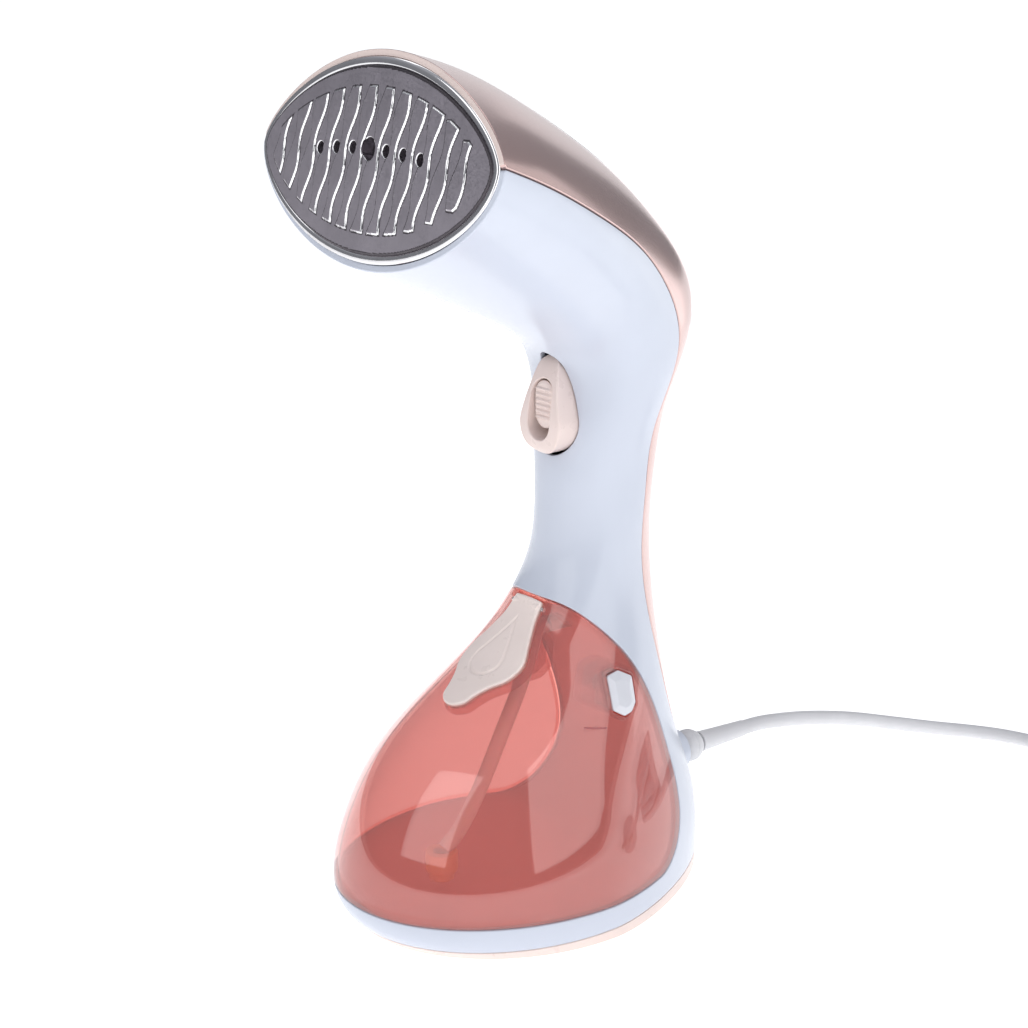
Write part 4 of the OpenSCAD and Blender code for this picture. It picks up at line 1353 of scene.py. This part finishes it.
def add_sinker():
    """The stepped weight at the end of the hose."""
    profile = rounded([(1.2, 17.5), (4.2, 17.5), (4.2, 20.5), (5.4, 20.5), (5.4, 27.3), (2.7, 27.3)], 0.7)
    to_mesh("tank_hose_weight", [lathe(profile, lambda x, y, h: np.stack([9 + x, -37.3 + y, h], -1))],
            sinker_resin, "tank", "hose_sinker")


add_sinker()

# ---------------------------------------------------------------- springs

WIRE_R = 0.4
COIL_PITCH = 1.6


def add_spring(node, body, axis, fixed_end):
    """A coil spring in the place of its CAD sleeve.

    axis is 0, 1 or 2 for x, y or z; fixed_end, 0 for its lower end and 1 for its upper end, is not used.
    """
    box = np.array(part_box(node)) / MM
    middle, size = box.mean(axis=0), box[1] - box[0]
    length = size[axis]
    one, two = (axis + 1) % 3, (axis + 2) % 3
    radius = size[one] / 2 - WIRE_R
    turns = round(length / COIL_PITCH)
    share = np.linspace(0, 1, 20 * turns + 1)
    route = np.tile(middle, (len(share), 1))
    route[:, one] += radius * np.cos(2 * math.pi * turns * share)
    route[:, two] += radius * np.sin(2 * math.pi * turns * share)
    route[:, axis] = box[0][axis] + WIRE_R + (length - 2 * WIRE_R) * share
    along = np.eye(3)[axis]
    coil = to_mesh(f"{node}_coil", [tube(route, WIRE_R, 10, along)], steel, body, node)
    anchor = middle.copy()
    anchor[axis] = box[fixed_end][axis]
    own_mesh(coil)


add_spring("latch_spring_left", "tank", 0, 1)
add_spring("latch_spring_right", "tank", 0, 0)
add_spring("trigger_spring", "housing", 1, 1)
add_spring("pump_spring", "housing", 2, 1)

# ---------------------------------------------------------------- soleplate


def plate_outline(inset):
    """The head's opening drawn in by inset, across and up the soleplate."""
    p = section(0.0, inset, 256)
    return np.stack([p[:, 0], (p[:, 2] - HEAD_MIDDLE[1]) / math.cos(HEAD_TILT)], -1)


RIBBON_PITCH, RIBBON_WIDTH, RIBBON_SWELL = 8.7, 4.8, 0.9
RIBBON_WAVE, RIBBON_LEAN = 19.5, 0.235
STEAM_PITCH, STEAM_R, STEAM_MIDDLE_R = 8.8, 1.9, 3.4
# How high the ribbons stand, how wide their slopes are, and how far these reach out of the ribbon's outline
RAISE, BEVEL, SPREAD = 0.5, 0.42, 0.2
# Widths of the painted shade lines: dark strips at the ribbons' feet and round the plate, in place of the
# shade in those creases
FOOT_LINE, EDGE_LINE = 0.42, 0.75
EDGE_LIP, HOLE_LIP = 0.6, 0.4


def ribbon(i):
    """Outline of one wavy ribbon: it leans, and its two sides swell and narrow. The ends of the ribbons lie
    on two shallow arcs."""
    middle = RIBBON_PITCH * (i - 0.5) - RIBBON_WIDTH / 2
    high = 25.2 - 0.0063 * (middle + 6) ** 2
    low = -24 + 0.006 * (middle + 1) ** 2
    z = np.linspace(low, high, 22)
    right = RIBBON_PITCH * (i - 0.5) + RIBBON_LEAN * z
    swell = RIBBON_SWELL * np.sin(2 * math.pi * z / RIBBON_WAVE)
    left_side, right_side = np.stack([right - RIBBON_WIDTH + swell, z], -1), np.stack([right - swell, z], -1)
    return np.vstack([left_side, right_side[::-1]])


RIBBONS = [ribbon(i) for i in range(-5, 7)]
RIBBON_BORDER = plate_outline(9)
PLATE_EDGE = plate_outline(4)


def steam_hole_distance(x, z, grow=0.0):
    """Distance from the nearest of the seven steam holes, which lie on a shallow arc."""
    found = np.full(np.shape(x), float(FAR))
    for i in range(-3, 4):
        r = (STEAM_MIDDLE_R if i == 0 else STEAM_R) + grow
        found = np.minimum(found, np.hypot(x - (i * STEAM_PITCH - 1), z - (3.3 - 0.16 * i * i)) - r)
    return found


def in_ribbons(x, z):
    """Distance inside the nearest ribbon, kept clear of the steam holes and the plate's border."""
    inside = np.full(np.shape(x), -float(FAR))
    for outline in RIBBONS:
        inside = np.maximum(inside, polygon_distance(x, z, outline))
    inside = np.minimum(inside, polygon_distance(x, z, RIBBON_BORDER))
    return np.minimum(inside, steam_hole_distance(x, z, 0.3))


def plate_height(x, z):
    """How far the soleplate's face is raised: flat-topped ribbons with sloping sides."""
    return RAISE * np.clip((in_ribbons(x, z) + SPREAD) / BEVEL, 0, 1)


def across_plate(p):
    """How far points lie across and up the soleplate."""
    return p[..., 0], (p - on_head(0, 0, 0)) @ (on_head(0, 0, 1) - on_head(0, 0, 0))


def plate_face(x, z):
    """The soleplate's front surface."""
    return on_head(x, PLATE_FRONT - plate_height(x, z), z)


def polish_slopes(plate):
    """Gives the sloping sides of the ribbons and the rims of the holes a bright finish, and paints dark lines
    of shade at the ribbons' feet and round the plate, where the creases lie."""
    plate.data.materials.append(sole_edge)
    plate.data.materials.append(sole_painted_shade)
    centres = np.array([polygon.center for polygon in plate.data.polygons]) / MM
    tilts = np.array([polygon.normal for polygon in plate.data.polygons]) @ -HEAD_INWARD
    x, z = across_plate(centres)
    foot = in_ribbons(x, z) + SPREAD
    edge = polygon_distance(x, z, PLATE_EDGE)
    in_front = behind_opening(centres) < 0
    # Painted shade: faces in a thin strip at each ribbon's foot and near the plate's edge take the dark metal
    dark = in_front & ((np.abs(foot + FOOT_LINE / 2) < FOOT_LINE / 2) | (edge < EDGE_LINE))
    bright = (tilts > 0.2) & (tilts < 0.93)
    for polygon, is_bright, is_dark in zip(plate.data.polygons, bright, dark):
        polygon.material_index = 2 if is_dark else 1 if is_bright else 0


def add_soleplate():
    """The grey soleplate with its raised ribbons and steam holes."""
    def keep(p):
        x, z = across_plate(p)
        return np.minimum(polygon_distance(x, z, PLATE_EDGE) - EDGE_LIP, steam_hole_distance(x, z) - HOLE_LIP)

    sheet, loops = clipped_patch(plate_face, keep, np.linspace(-60.5, 60.5, 560), np.linspace(-31, 31, 220),
                                 0.08)

    def onto_back(wall):
        depth = (wall - on_head(0, PLATE_BACK, 0)) @ HEAD_INWARD
        return wall - depth[:, None] * HEAD_INWARD

    add_well(sheet, loops[0], EDGE_LIP, onto_back, HEAD_INWARD)
    for hole in loops[1:]:
        add_well(sheet, hole, HOLE_LIP, onto_back, -HEAD_INWARD)
    plate = to_mesh("soleplate", [sheet], sole, "housing", "steam_plate")
    polish_slopes(plate)


add_soleplate()


def add_plate_rim():
    """The bright ring round the soleplate, with a rounded front edge. Each row of its profile gives inset and
    depth, and how its normal leans out and forwards."""
    profile = [(3.1, 2.4, 1, 0), (3.1, -0.05, 1, 0), (1.9, -0.1, 0.7, -0.7), (1.75, -0.4, 1, 0.1),
               (1.95, -0.85, 0.8, 0.7), (2.5, -1.15, 0.1, 1), (3.4, -1.15, -0.1, 1), (3.85, -0.95, -0.7, 0.8),
               (4, -0.6, -1, 0.1), (4, 2.4, -1, 0)]
    rows = []
    for inset, y, _, _ in profile:
        outline = plate_outline(inset)
        rows.append(on_head(outline[:, 0], y, outline[:, 1]))
    rows = np.array(rows)
    sheet = Sheet()
    numbers = []
    centre = rows.mean(axis=(0, 1))
    side = unit(rows[1] - centre)
    for row, (_, _, out, ahead) in zip(rows, profile):
        numbers.append(sheet.add(row, unit(side * out - HEAD_INWARD * ahead)))
    for one, two in zip(numbers, numbers[1:] + numbers[:1]):
        sheet.join_rows(two, one)
    to_mesh("soleplate_rim", [sheet], chrome, "housing", "plate_rim")


add_plate_rim()

# ---------------------------------------------------------------- trigger

TRIGGER_LINE = [(18, 187), (14.5, 183), (12, 176), (10.2, 168), (9.6, 161), (10.5, 155), (14, 151.5)]
TRIGGER_BACK = 25
SLOT_FLOOR = 19.5
SLOT_HALF, SLOT_LOW, SLOT_HIGH = 5.6, 157.5, 178
LOCK_TRAVEL = 3

trigger_side = through(TRIGGER_LINE, 8)[::-1]


def trigger_y(z):
    """Where the trigger's front line lies at a height."""
    return np.interp(z, trigger_side[:, 1], trigger_side[:, 0])


def slot_distance(x, z, half, low, high):
    """Distance to an upright slot with round ends, positive inside it."""
    middle = np.clip(z, low + half, high - half)
    return half - np.hypot(x, z - middle)


def front_piece(name, height, keep, us, vs, rims, body, node):
    """A blush piece made from the front: a face over (x, z), and for each edge, longest first, a rounded lip,
    the y that its wall runs back to, and the way its end faces."""
    def point(x, z):
        x, z = np.broadcast_arrays(x, z)
        return np.stack([x, height(x, z), z], -1)

    sheet, loops = clipped_patch(point, keep, us, vs, 0.05)
    for loop, (lip, back, floor) in zip(loops, rims):
        add_well(sheet, loop, lip, lambda p: p * [1, 0, 1] + [0, back, 0], floor, 5)
    to_mesh(name, [sheet], blush, body, node)


def add_trigger():
    """The trigger's drop-shaped shell, with the slot for the slider."""
    def height(x, z):
        return trigger_y(z) + 0.006 * x * x

    def keep(p):
        slot = slot_distance(p[..., 0], p[..., 2], SLOT_HALF, SLOT_LOW, SLOT_HIGH)
        return np.minimum(in_teardrop(p) - 0.6, -slot - 0.5)

    front_piece("trigger_shell", height, keep, np.linspace(-11, 11, 90), np.linspace(151, 188, 150),
                [(0.7, TRIGGER_BACK, (0, 1, 0)), (0.5, SLOT_FLOOR, (0, -1, 0))], "steam_trigger", "trigger")


add_trigger()


SLIDER_Y = 12.3
BARS = 6
BAR_START, BAR_PITCH, BAR_HALF, BAR_HEIGHT = 4.05, 1.9, 3.9, 0.75


def add_slider():
    """The slider at the top of its slot: a face with a rim that falls away and six grip bars."""
    half, low, high = SLOT_HALF - 0.4, SLOT_LOW + LOCK_TRAVEL + 0.4, SLOT_HIGH - 0.4

    def height(x, z):
        inside = slot_distance(x, z, half, low, high)
        across = np.clip((BAR_HALF - np.abs(x)) / 0.5, 0, 1)
        row = (z - low - BAR_START) / BAR_PITCH
        bar = np.clip(1 - np.abs(row - np.round(row)) / 0.3, 0, 1) * (row > -0.5) * (row < BARS - 0.5)
        rim = 0.35 * np.clip(1.6 - inside, 0, 2) ** 2
        return SLIDER_Y + rim - BAR_HEIGHT * across * bar ** 0.5

    def keep(p):
        return slot_distance(p[..., 0], p[..., 2], half, low, high) - 0.5

    front_piece("lock_slider_cap", height, keep, np.linspace(-6, 6, 70), np.linspace(158, 180, 150),
                [(0.45, SLOT_FLOOR - 0.3, (0, 1, 0))], "lock", "lock_slider")


add_slider()

# ---------------------------------------------------------------- floor


def add_floor():
    """The pale floor under the object."""
    size = 60
    glow = 0.76
    mesh = bpy.data.meshes.new("floor")
    corners = [(-size, -size, 0), (size, -size, 0), (size, size, 0), (-size, size, 0)]
    mesh.from_pydata(corners, [], [(0, 1, 2, 3)])
    floor = bpy.data.objects.new("floor", mesh)
    bpy.context.scene.collection.objects.link(floor)
    pale = Finish("floor_pale", (0.9, 0.9, 0.9), 0.9, Emission_Color=(1, 1, 1, 1), Emission_Strength=glow,
                  Specular_IOR_Level=0.0)
    mesh.materials.append(pale.material)


add_floor()
